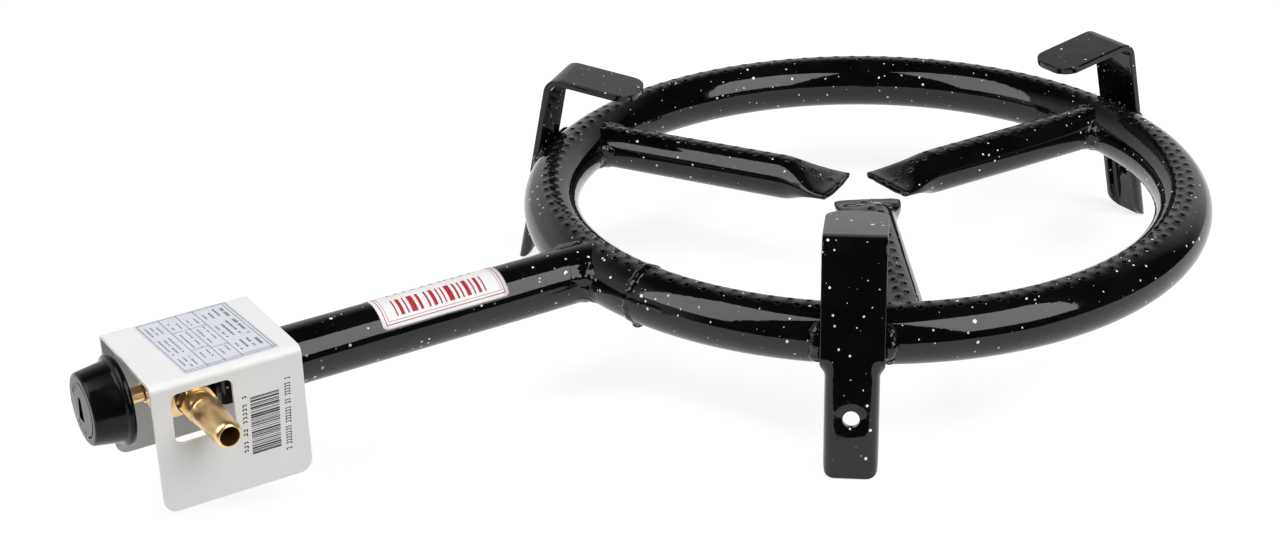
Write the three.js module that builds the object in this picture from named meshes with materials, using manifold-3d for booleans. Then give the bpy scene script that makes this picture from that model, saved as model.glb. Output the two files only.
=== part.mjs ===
// Paella burner: a perforated ring tube with three crimped spokes, on three bent legs,
// fed through a side tube by a push-and-turn gas tap under a folded shield.
// Millimetres, +Z up. The feed tube runs along -X and the ring's axis is Z.
import * as THREE from 'three';
import { mergeGeometries, mergeVertices } from 'three/addons/utils/BufferGeometryUtils.js';
import Module from 'manifold-3d';

const degree = Math.PI / 180;

// Ring tube
const ringOuterDiameter = 300;
const ringTubeDiameter = 24.2;
const tubeWall = 1.5;
const seatGap = 0.3;
const overrun = 2;

// Flame ports: two staggered rows either side of the crown
const portDiameter = 2.2;
const portPitch = 7.75;
const portRowAngle = 10 * degree;

// Spoke tubes, crimped flat at their inner ends
const spokeCount = 3;
const spokeTubeDiameter = 19.5;
const spokeTipRadius = 13;
const crimpLength = 27;
const crimpWidth = 29;
const crimpThickness = 3.4;
const spokePortLateral = 2;
const spokePassageDiameter = 11;

// Feed tube
const feedTubeDiameter = 24;
const feedMouthReach = 297;
const feedPassageDiameter = 17;

// Legs
const legAzimuths = [0, 128.5 * degree, 231.5 * degree];
const legWidth = 25;
const legThickness = 3;
const legLean = 12 * degree;
const legTop = 41.5;
const legFootDrop = 50;
const legBendRadius = 5.5;
const legWaistRadius = 20;
const restLength = 40;
const restSlope = 9 * degree;
const restEndRounding = 7;
const footEndRounding = 8;
const footWebHalf = 5.7;
const footFoldRadius = 3.2;
const footFoldAngle = 78 * degree;
const footFoldStart = 3.5;
const footFoldRun = 8;
const boltHoleDiameter = 6.6;
const boltHoleDrop = 26.8;

// Gas tap, all along one axis parallel to the feed tube
const tapRise = 2.2;
const yokeThickness = 2;
const yokeWidth = 14.4;
const airGap = 10.5;
const yokeLegLength = 14;
const locknutThickness = 4;
const locknutFlats = 13;
const shieldBracketThickness = 1.5;
const shieldBracketArm = 16;
const bodyLength = 14.9;
const bodyRadius = 10;
const bodyHexLength = 5.6;
const bodyFlats = 21;
const bodyEdge = 1;
const neckRadius = 4;
const neckBoreRadius = 1.8;
const plugBigRadius = 5.6;
const plugSmallRadius = 4.2;
const plugLength = 9;
const plugHeadRadius = 3.5;
const plugHeadLength = 2.5;
const plugGap = 0.3;
const plugPortRadius = 1.4;
const plugPortDepth = 4.1;
const plugLowPortRadius = 0.5;
const plugSlotDepth = 4;
const bonnetHexLength = 5;
const bonnetFlats = 14;
const bonnetBossRadius = 4.1;
const bonnetBossLength = 2.5;
const bonnetThreadRadius = 7;
const bonnetThreadLength = 3.6;
const bonnetCavityRadius = 5.5;
const bonnetFrontWall = 2.6;
const sealWireRadius = 0.5;
const sealGrooveWidth = 1.3;
const sealGrooveRadius = 4.6;
const spindleRadius = 3;
const spindleFlatDepth = 1.1;
const spindleCollarRadius = 5;
const spindleCollarThickness = 1;
const spindleReach = 18.6;
const tongueWidth = 5;
const tongueThickness = 2;
const tongueEngagement = 1.2;
const springWireRadius = 0.25;
const springRadius = 4.6;
const springCoils = 3;
const pushTravel = 2.5;

// Injector
const injectorFlats = 7;
const injectorHexLength = 3;
const injectorNoseRadius = 2.2;
const injectorNoseLength = 5;
const injectorShankRadius = 2.4;
const injectorShankLength = 3.6;
const injectorJetRadius = 0.5;

// Hose barb on the tap's side
const inletOffset = 6.9;
const bossRadius = 7.2;
const bossReach = 13.6;
const washerThickness = 1;
const washerRadius = 7;
const barbShankRadius = 5;
const barbShankLength = 5.2;
const barbFlats = 13;
const barbHexLength = 5;
const barbNeckRadius = 5.4;
const barbNeckLength = 7.6;
const barbRidgeRadius = 6.1;
const barbRidgeWidth = 0.8;
const barbBackRadius = 5.8;
const barbFrontRadius = 5.3;
const barbEndRadius = 4.4;
const barbEndTaper = 2.2;
const barbReach = 36;
const barbBoreRadius = 3.7;

// Knob
const knobLength = 14.6;
const knobSkirtRadius = 17.7;
const knobSkirtThickness = 2.7;
const knobBackRadius = 15.6;
const knobFaceRadius = 14.1;
const knobWall = 2;
const knobHubRadius = 5.6;
const knobFaceEdge = 0.8;
const knobGap = 8.3;
const knobGrooveRadius = 11.7;
const knobGrooveWidth = 0.9;
const knobGrooveDepth = 0.7;
const pointerLength = 11;
const pointerWide = 5;
const pointerNarrow = 2.4;
const pointerDepth = 1.1;
const clipThickness = 0.5;
const clipWidth = 3.4;
const clipLength = 6;

// Shield
const shieldLength = 59;
const shieldWidth = 54;
const shieldHeight = 52.6;
const shieldThickness = 1.5;
const shieldBendRadius = 3;
const shieldTop = 17.4;
const shieldFrontGap = 3.1;
const shieldCornerRadius = 5;
const windowInset = 7.2;
const windowLength = 23.8;
const windowDrop = 5;
const windowHeight = 20.5;
const windowRadius = 3;
const screwSpacing = 8;
const screwRadius = 1.5;
const screwHeadRadius = 2.8;
const screwHeadHeight = 1.9;
const screwLength = 7;
const screwSocketRadius = 1.2;
const screwSocketDepth = 1.1;
const screwNutFlats = 5.5;
const screwNutThickness = 2.4;

// Facets
const ringSides = 16;
const ductSides = 8;
const portSides = 4;
const turnedSegments = 20;
const smallSegments = 12;
const wireSides = 6;
const coilSteps = 8;
const arcSteps = 4;
const weldTolerance = 1e-5;

// Worked out from the sizes above
const ringTubeRadius = ringTubeDiameter / 2;
const ringRadius = ringOuterDiameter / 2 - ringTubeRadius;
const ringSegments = Math.round(Math.PI * ringRadius / portPitch);
const yokeFront = -feedMouthReach - airGap;
const yokeBack = yokeFront - yokeThickness;
const bracketBack = yokeBack - seatGap - shieldBracketThickness;
const bodyShoulder = bracketBack - seatGap;
const bodyFront = bodyShoulder - bodyLength;
const neckEnd = yokeFront + seatGap + locknutThickness + seatGap;
const seatFace = bodyFront + bonnetThreadLength + 2 * seatGap;
const plugFace = seatFace - plugHeadLength;
const portPlace = seatFace + plugPortDepth;
const bonnetFront = bodyFront - seatGap - bonnetHexLength;
const cavityFront = bonnetFront + bonnetFrontWall;
const collarFront = cavityFront + seatGap;
const collarBack = collarFront + spindleCollarThickness;
const spindleEnd = bonnetFront - bonnetBossLength - spindleReach;
const knobBack = bonnetFront - bonnetBossLength - knobGap;
const knobFace = knobBack - knobLength;
const shieldFront = knobBack + shieldFrontGap;
const inletPlace = bodyFront + inletOffset;
const flangeInner = shieldWidth / 2 - shieldThickness;

// Solids: a closed mesh with merged vertices, for joins and cuts
const wasm = await Module();
wasm.setup();

function bareGeometry(geometry) {
  const bare = geometry.clone();
  bare.deleteAttribute('normal');
  bare.deleteAttribute('uv');
  return mergeVertices(bare, weldTolerance);
}

function solidOf(geometry) {
  const bare = bareGeometry(geometry);
  const vertProperties = Float32Array.from(bare.getAttribute('position').array);
  const triVerts = Uint32Array.from(bare.getIndex().array);
  return new wasm.Manifold(new wasm.Mesh({ numProp: 3, vertProperties, triVerts }));
}

function geometryOf(solid) {
  const mesh = solid.getMesh();
  const geometry = new THREE.BufferGeometry();
  geometry.setAttribute('position', new THREE.Float32BufferAttribute(mesh.vertProperties, 3));
  geometry.setIndex(new THREE.Uint32BufferAttribute(mesh.triVerts, 1));
  return geometry;
}

function cut(geometry, ...tools) {
  const start = solidOf(geometry);
  return geometryOf(tools.reduce((solid, tool) => solid.subtract(solidOf(tool)), start));
}

function join(geometry, ...others) {
  const start = solidOf(geometry);
  return geometryOf(others.reduce((solid, other) => solid.add(solidOf(other)), start));
}

function common(geometry, other) {
  return geometryOf(solidOf(geometry).intersect(solidOf(other)));
}

// A closed profile of [place along the axis, radius] points turned about X
function turned(profile, segments = turnedSegments) {
  const points = profile.map(([along, radius]) => new THREE.Vector2(radius, along));
  points.push(points[0].clone());
  return facingOut(new THREE.LatheGeometry(points, segments).rotateZ(-Math.PI / 2));
}

// A round bar along X from one place to another
function bar(from, to, radius, segments = turnedSegments) {
  const cylinder = new THREE.CylinderGeometry(radius, radius, to - from, segments);
  return cylinder.rotateZ(-Math.PI / 2).translate((from + to) / 2, 0, 0);
}

// A hexagonal bar along X, measured across its flats
function hexBar(from, to, flats) {
  const radius = flats / 2 / Math.cos(Math.PI / 6);
  return bar(from, to, radius, 6);
}

// A plate outline in the YZ plane pushed along X
function plateAlongX(shape, from, to) {
  const plate = new THREE.ExtrudeGeometry(shape, { depth: to - from, bevelEnabled: false, curveSegments: arcSteps });
  return plate.rotateX(Math.PI / 2).rotateZ(Math.PI / 2).translate(from, 0, 0);
}

// A block between two corners
function block(low, high) {
  const size = high.map((value, axis) => value - low[axis]);
  const middle = high.map((value, axis) => (value + low[axis]) / 2);
  return new THREE.BoxGeometry(...size).translate(...middle);
}

// A rectangle with rounded corners
function roundedRectangle(left, bottom, right, top, radius) {
  const shape = new THREE.Shape();
  shape.absarc(right - radius, bottom + radius, radius, -Math.PI / 2, 0);
  shape.absarc(right - radius, top - radius, radius, 0, Math.PI / 2);
  shape.absarc(left + radius, top - radius, radius, Math.PI / 2, Math.PI);
  shape.absarc(left + radius, bottom + radius, radius, Math.PI, Math.PI * 3 / 2);
  return shape;
}

// Rings of points, all with as many points, skinned into one closed body
function loft(rings) {
  const count = rings[0].length;
  const positions = rings.flat().flatMap((point) => [point.x, point.y, point.z]);
  const index = [];
  for (let ring = 0; ring + 1 < rings.length; ring += 1) {
    for (let step = 0; step < count; step += 1) {
      const near = ring * count + step;
      const next = ring * count + (step + 1) % count;
      index.push(near, next, near + count, next, next + count, near + count);
    }
  }
  const flat = (ring) => THREE.ShapeUtils.triangulateShape(flatten(ring, planeAxes(ring)), []);
  const last = (rings.length - 1) * count;
  for (const [a, b, c] of flat(rings[0])) index.push(a, c, b);
  for (const [a, b, c] of flat(rings[rings.length - 1])) index.push(last + a, last + b, last + c);
  const geometry = new THREE.BufferGeometry();
  geometry.setAttribute('position', new THREE.Float32BufferAttribute(positions, 3));
  geometry.setIndex(index);
  return facingOut(geometry);
}

// Two directions in the plane of a ring of points, for work in flat coordinates
function planeAxes(ring) {
  const across = ring[1].clone().sub(ring[0]).normalize();
  const normal = new THREE.Vector3();
  ring.forEach((point, step) => normal.add(point.clone().cross(ring[(step + 1) % ring.length])));
  return { across, normal: normal.normalize(), up: normal.clone().cross(across) };
}

function flatten(points, { across, up }) {
  return points.map((point) => new THREE.Vector2(point.dot(across), point.dot(up)));
}

// The same body with its faces turned outward
function facingOut(geometry) {
  const position = geometry.getAttribute('position');
  const index = geometry.getIndex().array;
  const corner = [new THREE.Vector3(), new THREE.Vector3(), new THREE.Vector3()];
  let volume = 0;
  for (let face = 0; face < index.length; face += 3) {
    corner.forEach((point, step) => point.fromBufferAttribute(position, index[face + step]));
    volume += corner[0].dot(corner[1].cross(corner[2]));
  }
  if (volume > 0) return geometry;
  for (let face = 0; face < index.length; face += 3) {
    [index[face], index[face + 1]] = [index[face + 1], index[face]];
  }
  return geometry;
}

// A small drill standing at a point and running along a direction
function drill(point, direction, length, diameter, sides) {
  const prism = new THREE.CylinderGeometry(diameter / 2, diameter / 2, length, sides);
  const turn = new THREE.Quaternion().setFromUnitVectors(new THREE.Vector3(0, 1, 0), direction);
  return prism.applyQuaternion(turn).translate(point.x, point.y, point.z);
}

// Ring tube: a skin of flat facets outside and inside, with each flame port as a hole through both
function centreline(azimuth) {
  return new THREE.Vector3(Math.cos(azimuth), Math.sin(azimuth), 0).multiplyScalar(ringRadius);
}

function skinDirection(azimuth, around) {
  const outward = new THREE.Vector3(Math.cos(azimuth), Math.sin(azimuth), 0).multiplyScalar(Math.cos(around));
  return outward.setZ(Math.sin(around));
}

function ringPorts() {
  const ports = [];
  for (const [around, firstShare] of [[Math.PI / 2 - portRowAngle, 1 / 8], [Math.PI / 2 + portRowAngle, 3 / 8]]) {
    for (let half = 0; half < 2 * ringSegments; half += 1) {
      const segment = Math.floor(half / 2);
      const azimuth = (half / 2 + firstShare) / ringSegments * 2 * Math.PI;
      ports.push({ segment, around, rays: portRays(azimuth, around) });
    }
  }
  return ports;
}

// The edges of a many-sided port, as rays out of the tube's centreline
function portRays(azimuth, around) {
  const direction = skinDirection(azimuth, around);
  const along = new THREE.Vector3(-Math.sin(azimuth), Math.cos(azimuth), 0);
  const across = direction.clone().cross(along);
  const rays = [];
  for (let side = 0; side < portSides; side += 1) {
    const turn = (side + 1 / 2) / portSides * 2 * Math.PI;
    const origin = centreline(azimuth).addScaledVector(along, portDiameter / 2 * Math.cos(turn));
    rays.push(new THREE.Ray(origin.addScaledVector(across, portDiameter / 2 * Math.sin(turn)), direction));
  }
  return rays;
}

// Three corners in the order that faces the way asked
function facing(a, b, c, outward) {
  const normal = b.clone().sub(a).cross(c.clone().sub(a));
  return normal.dot(outward) > 0 ? [a, b, c] : [a, c, b];
}

// One skin of the ring tube; each port leaves its loop of points on the facet it goes through
function ringSkin(radius, sides, sense, ports) {
  const triangles = [];
  const corner = (segment, side) => {
    const azimuth = segment % ringSegments / ringSegments * 2 * Math.PI;
    const around = side % sides / sides * 2 * Math.PI;
    return centreline(azimuth).addScaledVector(skinDirection(azimuth, around), radius);
  };
  for (let segment = 0; segment < ringSegments; segment += 1) {
    for (let side = 0; side < sides; side += 1) {
      const next = [[segment, side], [segment + 1, side], [segment + 1, side + 1], [segment, side + 1]];
      const corners = next.map(([along, around]) => corner(along, around));
      const plane = new THREE.Plane().setFromCoplanarPoints(...corners);
      const here = ports.filter((port) => port.segment === segment
        && Math.floor(port.around / 2 / Math.PI * sides) === side);
      const loops = here.map((port) => port.rays.map((ray) => ray.intersectPlane(plane, new THREE.Vector3())));
      here.forEach((port, step) => { port.loops = [...port.loops ?? [], loops[step]]; });
      const middle = (segment + 1 / 2) / ringSegments * 2 * Math.PI;
      const outward = skinDirection(middle, (side + 1 / 2) / sides * 2 * Math.PI).multiplyScalar(sense);
      const axes = planeAxes(corners);
      const points = [...corners, ...loops.flat()];
      const holes = loops.map((loop) => flatten(loop, axes));
      for (const [a, b, c] of THREE.ShapeUtils.triangulateShape(flatten(corners, axes), holes)) {
        triangles.push(...facing(points[a], points[b], points[c], outward));
      }
    }
  }
  return triangles;
}

// The wall of a port, between its loop outside and its loop inside
function portWall({ loops: [outer, inner] }) {
  const middle = outer.reduce((sum, point) => sum.add(point), new THREE.Vector3()).divideScalar(portSides);
  return outer.flatMap((point, side) => {
    const next = (side + 1) % portSides;
    const inward = middle.clone().sub(point).add(middle).sub(outer[next]);
    return [
      ...facing(point, outer[next], inner[side], inward),
      ...facing(outer[next], inner[next], inner[side], inward),
    ];
  });
}

function ringPassages() {
  const feed = bar(-ringRadius - ringTubeRadius - overrun, -ringRadius, feedPassageDiameter / 2, smallSegments);
  const passages = [feed];
  for (let spoke = 0; spoke < spokeCount; spoke += 1) {
    const inner = ringRadius - ringTubeRadius - overrun;
    const passage = bar(inner, ringRadius, spokePassageDiameter / 2, smallSegments);
    passages.push(passage.rotateZ(spoke / spokeCount * 2 * Math.PI));
  }
  return passages;
}

function ringTube() {
  const ports = ringPorts();
  const outside = ringSkin(ringTubeRadius, ringSides, 1, ports);
  const duct = ringSkin(ringTubeRadius - tubeWall, ductSides, -1, ports);
  const triangles = [...outside, ...duct, ...ports.flatMap(portWall)];
  return cut(new THREE.BufferGeometry().setFromPoints(triangles), ...ringPassages());
}

// The space that the ring tube keeps to itself, for the tubes that are coped to it
function ringClearance() {
  return new THREE.TorusGeometry(ringRadius, ringTubeRadius + seatGap, ringSides, ringSegments);
}

// Spoke tube: round at the ring, drawn flat at its tip
function spokeSection(distance, halfWidth, halfHeight, sides) {
  const points = [];
  for (let step = 0; step < sides; step += 1) {
    const turn = step / sides * 2 * Math.PI;
    points.push(new THREE.Vector3(distance, halfWidth * Math.sin(turn), halfHeight * Math.cos(turn)));
  }
  return points;
}

function spokeSkin(inset, startShare, sides) {
  const crimpSteps = 5;
  const rings = [];
  for (let step = 0; step <= crimpSteps; step += 1) {
    const share = startShare + (1 - startShare) * step / crimpSteps;
    const round = THREE.MathUtils.smootherstep(share, 0, 1);
    const halfWidth = THREE.MathUtils.lerp(crimpWidth, spokeTubeDiameter, round) / 2 - inset;
    const halfHeight = THREE.MathUtils.lerp(crimpThickness, spokeTubeDiameter, round) / 2 - inset;
    rings.push(spokeSection(spokeTipRadius + crimpLength * share, halfWidth, halfHeight, sides));
  }
  const tubeRadius = spokeTubeDiameter / 2 - inset;
  rings.push(spokeSection(ringRadius + inset, tubeRadius, tubeRadius, sides));
  return loft(rings);
}

function spokeDrills() {
  const drills = [];
  const up = new THREE.Vector3(0, 0, 1);
  const length = spokeTubeDiameter / 2 + overrun;
  const outermost = ringRadius - ringTubeRadius;
  const innermost = spokeTipRadius + crimpLength / 2;
  const count = Math.floor((outermost - innermost) / portPitch);
  for (const [side, lagShare] of [[1, 1 / 4], [-1, 3 / 4]]) {
    for (let port = 0; port < count; port += 1) {
      const distance = outermost - (port + lagShare) * portPitch;
      const point = new THREE.Vector3(distance, side * spokePortLateral, length / 2);
      drills.push(drill(point, up, length, portDiameter, portSides));
    }
  }
  return mergeGeometries(drills);
}

function spokeTube(spoke) {
  const cavityStartShare = 0.45;
  const tube = cut(
    spokeSkin(0, 0, ringSides),
    spokeSkin(tubeWall, cavityStartShare, ductSides),
    spokeDrills(),
    ringClearance(),
  );
  return tube.rotateZ(spoke / spokeCount * 2 * Math.PI);
}

// Feed tube, coped to the ring
function feedTube() {
  const outside = bar(-feedMouthReach, -ringRadius, feedTubeDiameter / 2);
  const bore = bar(-feedMouthReach - overrun, -ringRadius + overrun, feedTubeDiameter / 2 - tubeWall);
  return cut(outside, bore, ringClearance());
}

// Leg: a strip that follows a bent line in the plane through the ring's axis
function legLine() {
  const middle = ringTubeRadius + seatGap + legThickness / 2;
  const lineRadius = (height) => ringRadius + (middle - height * Math.sin(legLean)) / Math.cos(legLean);
  const corner = new THREE.Vector2(lineRadius(legTop), legTop);
  const restWay = new THREE.Vector2(-Math.cos(restSlope), -Math.sin(restSlope));
  const legWay = new THREE.Vector2(Math.sin(legLean), -Math.cos(legLean));
  const footEnd = new THREE.Vector2(lineRadius(-legFootDrop), -legFootDrop);
  return { corner, restWay, legWay, legRun: corner.distanceTo(footEnd) };
}

// Stations along the leg's middle line: place, way on, and distance from both ends
function legStations() {
  const { corner, restWay, legWay, legRun } = legLine();
  const turn = Math.acos(-restWay.dot(legWay));
  const setback = legBendRadius / Math.tan(turn / 2);
  const stations = [];
  const onRest = (fromTip) => {
    const place = corner.clone().addScaledVector(restWay, restLength - fromTip);
    stations.push({ place, way: restWay.clone().negate(), fromTip, fromFoot: Infinity });
  };
  const onLeg = (fromFoot) => {
    const place = corner.clone().addScaledVector(legWay, legRun - fromFoot);
    stations.push({ place, way: legWay.clone(), fromTip: Infinity, fromFoot });
  };
  const endShares = [0, 0.12, 0.4, 1];
  endShares.forEach((share) => onRest(share * restEndRounding));
  const bisector = restWay.clone().add(legWay).normalize();
  const centre = corner.clone().addScaledVector(bisector, legBendRadius / Math.sin(turn / 2));
  const start = corner.clone().addScaledVector(restWay, setback).sub(centre);
  for (let step = 0; step <= arcSteps; step += 1) {
    const angle = -(Math.PI - turn) * step / arcSteps;
    const spoke = start.clone().rotateAround(new THREE.Vector2(), angle);
    const way = restWay.clone().negate().rotateAround(new THREE.Vector2(), angle);
    stations.push({ place: centre.clone().add(spoke), way, fromTip: Infinity, fromFoot: Infinity });
  }
  const foldStart = legFootDrop / Math.cos(legLean) - footFoldStart;
  for (let step = 0; step <= arcSteps; step += 1) onLeg(foldStart - footFoldRun * step / arcSteps);
  endShares.toReversed().forEach((share) => onLeg(share * footEndRounding));
  return stations;
}

// Half width of the strip where an end is rounded off
function endHalfWidth(fromEnd, rounding) {
  if (fromEnd >= rounding) return legWidth / 2;
  const endShare = 0.5;
  const rise = Math.sqrt(1 - (1 - fromEnd / rounding) ** 2);
  return legWidth / 2 * THREE.MathUtils.lerp(endShare, 1, rise);
}

// How far the strip's edges are folded, from flat to the pressed channel of the foot
function foldAngle(fromFoot) {
  const foldStart = legFootDrop / Math.cos(legLean) - footFoldStart;
  const share = THREE.MathUtils.clamp((foldStart - fromFoot) / footFoldRun, 0, 1);
  return footFoldAngle * THREE.MathUtils.smoothstep(share, 0, 1);
}

// One side of the strip's section: places on its middle line, how far they are folded
function foldedHalf(halfWidth, angle) {
  const arcLength = footFoldRadius * footFoldAngle;
  const wholePlaces = [footWebHalf, footWebHalf + arcLength / 2, footWebHalf + arcLength, legWidth / 2];
  const radius = footFoldRadius * footFoldAngle / Math.max(angle, weldTolerance);
  return wholePlaces.map((wholePlace) => {
    const place = wholePlace * 2 * halfWidth / legWidth;
    const bent = THREE.MathUtils.clamp(place - footWebHalf, 0, arcLength);
    const beyond = Math.max(place - footWebHalf - arcLength, 0);
    const turn = bent / radius;
    const across = place - bent - beyond + radius * Math.sin(turn) + beyond * Math.cos(turn);
    const inward = radius * (1 - Math.cos(turn)) + beyond * Math.sin(turn);
    return { across, inward, turn };
  });
}

function legSection(station) {
  const rest = endHalfWidth(station.fromTip, restEndRounding);
  const halfWidth = Math.min(rest, endHalfWidth(station.fromFoot, footEndRounding));
  const angle = Number.isFinite(station.fromFoot) ? foldAngle(station.fromFoot) : 0;
  const outward = new THREE.Vector2(-station.way.y, station.way.x);
  const half = foldedHalf(halfWidth, angle);
  const face = (offset) => half.map(({ across, inward, turn }) => ({
    across: across + offset * Math.sin(turn),
    outward: offset * Math.cos(turn) - inward,
  }));
  const near = face(legThickness / 2);
  const far = face(-legThickness / 2);
  const mirrored = (points) => points.map((point) => ({ ...point, across: -point.across })).toReversed();
  const outline = [...near, ...far.toReversed(), ...mirrored(far).toReversed(), ...mirrored(near)];
  return outline.map((point) => {
    const place = station.place.clone().addScaledVector(outward, point.outward);
    return new THREE.Vector3(place.x, point.across, place.y);
  });
}

function leg(azimuth) {
  const { corner, legWay, legRun } = legLine();
  const along = legRun - (legFootDrop - boltHoleDrop) / Math.cos(legLean);
  const hole = corner.clone().addScaledVector(legWay, along);
  const direction = new THREE.Vector3(Math.cos(legLean), 0, Math.sin(legLean));
  const place = new THREE.Vector3(hole.x, 0, hole.y);
  const bolt = drill(place, direction, legThickness + 2 * overrun, boltHoleDiameter, smallSegments);
  return cut(loft(legStations().map(legSection)), bolt).rotateZ(azimuth);
}

// Sheet bent along a line of corners in the XY plane, with a height along Z
function bentStrip(corners, thickness, width) {
  const left = [];
  const right = [];
  corners.forEach((corner, step) => {
    const before = corners[Math.max(step - 1, 0)];
    const after = corners[Math.min(step + 1, corners.length - 1)];
    const into = step > 0 ? corner.clone().sub(before).normalize() : after.clone().sub(corner).normalize();
    const out = step + 1 < corners.length ? after.clone().sub(corner).normalize() : into.clone();
    const side = new THREE.Vector2(-into.y - out.y, into.x + out.x).normalize();
    const reach = thickness / 2 / Math.cos(Math.acos(Math.min(into.dot(out), 1)) / 2);
    left.push(corner.clone().addScaledVector(side, reach));
    right.push(corner.clone().addScaledVector(side, -reach));
  });
  const shape = new THREE.Shape([...left, ...right.toReversed()]);
  const strip = new THREE.ExtrudeGeometry(shape, { depth: width, bevelEnabled: false });
  return strip.translate(0, 0, -width / 2);
}

// Strap across the feed tube's mouth, with a bore for the tap's neck
function mouthYoke() {
  const side = feedTubeDiameter / 2 + seatGap + yokeThickness / 2;
  const legEnd = -feedMouthReach + yokeLegLength;
  const web = yokeFront - yokeThickness / 2;
  const corners = [[legEnd, -side], [web, -side], [web, side], [legEnd, side]];
  const strap = bentStrip(corners.map(([x, y]) => new THREE.Vector2(x, y)), yokeThickness, yokeWidth);
  const bore = bar(yokeBack - overrun, yokeFront + overrun, neckRadius + seatGap, smallSegments);
  return cut(strap, bore).translate(0, 0, tapRise);
}

// Angle clamped under the tap that reaches the shield's far flange
function screwPlaces() {
  const last = bracketBack - shieldBracketArm + screwHeadRadius + seatGap;
  return [last, last + screwSpacing];
}

function shieldBracket() {
  const web = bracketBack + shieldBracketThickness / 2;
  const arm = flangeInner - seatGap - shieldBracketThickness / 2;
  const near = -(neckRadius + seatGap + shieldBracketThickness * 2);
  const corners = [[web, near], [web, arm], [bracketBack - shieldBracketArm, arm]];
  const line = corners.map(([x, y]) => new THREE.Vector2(x, y));
  const angle = bentStrip(line, shieldBracketThickness, yokeWidth);
  const bore = bar(bracketBack - overrun, yokeBack, neckRadius + seatGap, smallSegments);
  const holes = screwPlaces().map((x) => screwHole(x).translate(0, 0, -tapRise));
  return cut(angle, bore, ...holes).translate(0, 0, tapRise);
}

function screwHole(x) {
  const point = new THREE.Vector3(x, shieldWidth / 2, tapRise);
  const across = new THREE.Vector3(0, 1, 0);
  return drill(point, across, screwLength * 2, 2 * (screwRadius + seatGap), smallSegments);
}

function acrossY(geometry, x, y) {
  return geometry.rotateZ(Math.PI / 2).translate(x, y, tapRise);
}

function shieldScrew(x) {
  const head = bar(seatGap, seatGap + screwHeadHeight, screwHeadRadius, smallSegments);
  const shank = bar(seatGap - screwLength, seatGap + screwHeadHeight / 2, screwRadius, smallSegments);
  const socketFloor = seatGap + screwHeadHeight - screwSocketDepth;
  const socket = hexBar(socketFloor, seatGap + screwHeadHeight + overrun, 2 * screwSocketRadius);
  return acrossY(cut(join(head, shank), socket), x, shieldWidth / 2);
}

function shieldNut(x) {
  const seat = flangeInner - 2 * seatGap - shieldBracketThickness;
  const nut = hexBar(-screwNutThickness, 0, screwNutFlats);
  const bore = bar(-screwNutThickness - overrun, overrun, screwRadius + seatGap, smallSegments);
  return acrossY(cut(nut, bore), x, seat);
}

// Shield: a folded inverted U with a window for the hose inlet
function shieldOutline() {
  const half = shieldWidth / 2;
  const inner = half - shieldThickness;
  const low = shieldTop - shieldHeight;
  const shape = new THREE.Shape();
  shape.moveTo(half, low);
  shape.absarc(half - shieldBendRadius, shieldTop - shieldBendRadius, shieldBendRadius, 0, Math.PI / 2);
  shape.absarc(shieldBendRadius - half, shieldTop - shieldBendRadius, shieldBendRadius, Math.PI / 2, Math.PI);
  shape.lineTo(-half, low);
  shape.lineTo(-inner, low);
  const bend = shieldBendRadius - shieldThickness;
  shape.absarc(bend - inner, shieldTop - shieldBendRadius, bend, Math.PI, Math.PI / 2, true);
  shape.absarc(inner - bend, shieldTop - shieldBendRadius, bend, Math.PI / 2, 0, true);
  shape.lineTo(inner, low);
  return shape;
}

// A plate outline in the XZ plane pushed along Y
function plateAlongY(shape, from, to) {
  const plate = new THREE.ExtrudeGeometry(shape, { depth: to - from, bevelEnabled: false, curveSegments: arcSteps });
  return plate.rotateX(Math.PI / 2).translate(0, to, 0);
}

function shield() {
  const back = shieldFront + shieldLength;
  const low = shieldTop - shieldHeight;
  const sheet = plateAlongX(shieldOutline(), shieldFront, back);
  const side = roundedRectangle(shieldFront, low, back, shieldTop + shieldCornerRadius, shieldCornerRadius);
  const trimmed = common(sheet, plateAlongY(side, -shieldWidth, shieldWidth));
  const left = shieldFront + windowInset;
  const top = shieldTop - windowDrop;
  const opening = roundedRectangle(left, top - windowHeight, left + windowLength, top, windowRadius);
  const window = plateAlongY(opening, -shieldWidth, -shieldWidth / 2 + shieldThickness + overrun);
  return cut(trimmed, window, ...screwPlaces().map(screwHole));
}

// Tap body: turned, with a spanner hexagon, a boss for the hose barb and a taper seat for the plug
function taperSeat(gap) {
  return turned([
    [seatFace, 0],
    [seatFace, plugBigRadius + gap],
    [seatFace + plugLength + gap, plugSmallRadius + gap],
    [seatFace + plugLength + gap, 0],
  ]);
}

// A round bar standing on the tap's axis and pointing along Y or Z
function standing(x, direction, from, to, radius, sides = smallSegments) {
  const middle = direction.clone().multiplyScalar((from + to) / 2).setX(x);
  return drill(middle, direction, to - from, 2 * radius, sides);
}

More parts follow.
